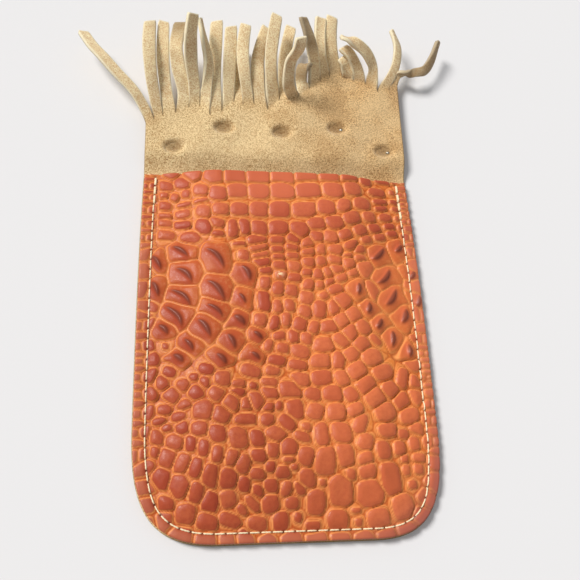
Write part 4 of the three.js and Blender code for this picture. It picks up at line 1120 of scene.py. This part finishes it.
def sewn_line(first, last, dive):
    """Plan of the thread from one needle hole to another, and how far it is up, from 0 at each
    hole to 1 between them, by a smooth rise over a share of the stitch."""
    place = np.linspace(first, last, (last - first) * dash_sections + 1)
    share = place % 1
    return at_shares(seam, place / stitch_count), smooth(np.minimum(share, 1 - share) / dive)


def front_sewing(first, last, aside, over):
    """Thread on the front, some way aside of the seam's line. It lies a quarter sunk on the
    leather's height averaged over one stitch, and drops into each needle hole."""
    plan, lift = sewn_line(first, last, needle_dive)
    plan = plan + left_of(plan) * aside
    ground = front_face(plan)[0]
    kernel = np.ones(dash_sections + 1)
    padded = np.pad(ground, len(kernel) // 2, mode="edge")
    lying = np.convolve(padded, kernel / kernel.sum(), mode="valid")
    lying = np.maximum(lying, ground - 0.1)
    height = lying + thread_radius * 0.75 + over
    height = height * lift + (lying - needle_drop) * (1 - lift)
    return twisted_thread(np.column_stack([plan, height]), thread_radius, thread_sides)


def joined(parts):
    """Points and faces of several meshes as one, with the vertex numbers moved on."""
    points, faces, count = [], [], 0
    for own_points, own_faces in parts:
        points.append(own_points)
        faces += [part + count for part in own_faces]
        count += len(own_points)
    return np.vstack(points), faces


def linen(name, light, dark):
    """Cream waxed linen, lighter and darker in fine flecks of fibre."""
    thread = Finish(name)
    fibres = thread.grain(0.18, detail=3)
    shade = thread.ramp(fibres, 0.35, 0.65)
    thread.coat("Base Color", thread.mix(shade, colour(dark), colour(light)))
    thread.coat("Roughness", 0.6)
    thread.coat("Sheen Weight", 0.2)
    thread.coat("Normal", thread.bump(fibres, 0.05, 0.6))
    return thread.material


needle = new_piece("needle_stitches", *joined([
    front_sewing(0, stitch_count, 0, 0),
    front_sewing(0, locked_stitches[0], locked_aside, locked_over),
    front_sewing(stitch_count - locked_stitches[1], stitch_count, -locked_aside, locked_over),
]))
needle.data.materials.append(linen("cream_linen", "FFEFCB", "E9D3A6"))
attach(needle, "root")
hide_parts("needle_thread")


# Bobbin thread: the same linen on the back, where it lies half sunk in the suede's channel and
# turns up into each needle hole.
bobbin_radius = 0.27
bobbin_sides = 8
bobbin_low = 0.3
bobbin_rise = 0.6
bobbin_dive = 0.14
bobbin_plan, bobbin_lift = sewn_line(0, stitch_count, bobbin_dive)
bobbin_height = bobbin_low * bobbin_lift + (bobbin_low + bobbin_rise) * (1 - bobbin_lift)
bobbin_line = np.column_stack([bobbin_plan, bobbin_height])
bobbin = new_piece("bobbin_stitches", *twisted_thread(bobbin_line, bobbin_radius, bobbin_sides))
bobbin.data.materials.append(linen("bobbin_linen", "F4E2BC", "DCC493"))
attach(bobbin, "root")
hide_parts("bobbin_thread")


# Studs: five aged nickel domes on the flap's outer face. Two prongs of each pass through the hide
# and are bent over inwards, so that the hide is drawn down to the dome in a dimple.
stud_radius = 4.6
stud_height = 2.0
stud_rim = 0.45
prong_spread = 3
prong_width = 1.3
prong_thickness = 0.4
prong_tops = ((3.6, 3.6), (3.6, 3.6), (3.6, 3.6), (3.5, 4.35), (3.5, 4.4))


def stud_dome(middle, around=48):
    """Turned cap: a dome below, whose profile is a sine out and a cosine up, a rolled rim, and a
    seat against the hide. The profile is turned about the stud's middle, with a fan of triangles
    at both poles."""
    angle = np.linspace(0, np.pi / 2, 12)
    rim_height = stud_height - stud_rim
    dome = np.column_stack([stud_radius * np.sin(angle), rim_height * (1 - np.cos(angle) ** 0.9)])
    roll = np.array([(0.0, 0.15), (0.0, 0.3), (-0.12, 0.42), (-0.35, 0.45)])
    seat = np.array([(2.4, stud_height - 0.6), (0.0, stud_height - 0.85)])
    profile = np.vstack([dome, roll + (stud_radius, rim_height), seat])
    turn = np.arange(around) * 2 * np.pi / around
    ring = np.stack([
        middle[0] + profile[1:-1, :1] * np.cos(turn),
        middle[1] + profile[1:-1, :1] * np.sin(turn),
        np.repeat(profile[1:-1, 1:], around, axis=1),
    ], axis=-1)
    count = ring.shape[0] * around
    index = np.arange(count).reshape(-1, around)
    index = np.column_stack([index, index[:, 0]])
    poles = np.array([(*middle, profile[0, 1]), (*middle, profile[-1, 1])])
    low = np.column_stack([index[0, 1:], index[0, :-1], np.full(around, count)])
    high = np.column_stack([index[-1, :-1], index[-1, 1:], np.full(around, count + 1)])
    return np.vstack([ring.reshape(-1, 3), poles]), [quads(index), low, high]


def clinched_prong(middle, hand, prong_top):
    """Flat prong swept up through the hide, over in a round bend and down into the nap. It thins
    to its point, and its section is a rounded oblong: cosine and sine to the power 0.6."""
    line = through([
        (prong_spread, 0, stud_height - 0.3), (prong_spread, 0, prong_top - 1.0),
        (prong_spread - 0.35, 0, prong_top - 0.35), (prong_spread - 1.2, 0, prong_top - 0.3),
        (prong_spread - 1.9, 0, prong_top - 0.75),
    ], 5)
    out = np.cross(unit(np.gradient(line, axis=0)), (0, 1.0, 0))
    share = np.linspace(0, 1, len(line))[:, None]
    half_wide = prong_width / 2 * (1 - 0.55 * smooth((share - 0.6) / 0.4))
    half_thick = prong_thickness / 2 * (1 - 0.5 * smooth((share - 0.7) / 0.3))
    turn = np.arange(8) * np.pi / 4 + np.pi / 8
    wide = half_wide * np.sign(np.cos(turn)) * np.abs(np.cos(turn)) ** 0.6
    thick = half_thick * np.sign(np.sin(turn)) * np.abs(np.sin(turn)) ** 0.6
    ring = line[:, None] + wide[..., None] * np.array([0, 1.0, 0]) + thick[..., None] * out[:, None]
    ring = ring * (hand, 1, 1) + (*middle, 0)
    faces = capped_tube(ring)
    if hand > 0:
        faces = [part[:, ::-1] for part in faces]
    return ring.reshape(-1, 3), faces


def aged_nickel():
    """Dull nickel plate with faint scratches and darker tarnish in patches."""
    metal = Finish("aged_nickel")
    tarnish = metal.grain(1.8, detail=4)
    scratches = metal.grain(0.4, detail=3, squeeze=(1, 9, 1))
    dull = metal.ramp(tarnish, 0.4, 0.7)
    metal.coat("Base Color", metal.mix(dull, colour("C9C3B4"), colour("8F8675")))
    metal.coat("Metallic", 1)
    metal.coat("Roughness", metal.ramp(tarnish, 0.3, 0.7, 0.25, 0.5))
    metal.coat("Normal", metal.bump(scratches, 0.02, 0.4))
    return metal.material


nickel = aged_nickel()
for number, (middle, tops) in enumerate(zip(stud_middles, prong_tops), 1):
    prongs = [clinched_prong(middle, hand, top) for hand, top in zip((-1, 1), tops)]
    stud = new_piece(f"stud_{number}", *joined([stud_dome(middle), *prongs]))
    stud.data.materials.append(nickel)
    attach(stud, "root")
    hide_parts(f"flap_stud_{number}")


# Table and light: a plain pale table under the pouch, a soft lamp high at the upper left, and an
# even pale sky. The table keeps the pouch's shadow.
table_size = 3.0
corners = np.array([(-1, -1, 0), (1, -1, 0), (1, 1, 0), (-1, 1, 0)]) * table_size / 2 / mm
table = new_piece("table", corners, [np.array([[0, 1, 2, 3]])])
pale = Finish("pale_table")
pale.coat("Base Color", colour("E4E3E4"))
pale.coat("Roughness", 0.9)
pale.coat("Specular IOR Level", 0.1)
table.data.materials.append(pale.material)

lamp_data = bpy.data.lights.new("window", "SUN")
lamp_data.energy = 3.15
lamp_data.angle = np.radians(20)
lamp_data.color = (1.0, 0.985, 0.96)
lamp = bpy.data.objects.new("window", lamp_data)
lamp.rotation_euler = np.radians((-21, -38, 0))
bpy.context.scene.collection.objects.link(lamp)
world = bpy.data.worlds.new("sky")
world.use_nodes = True
sky = world.node_tree.nodes["Background"]
sky.inputs["Color"].default_value = (0.97, 0.985, 1.0, 1)
sky.inputs["Strength"].default_value = 0.38
bpy.context.scene.world = world
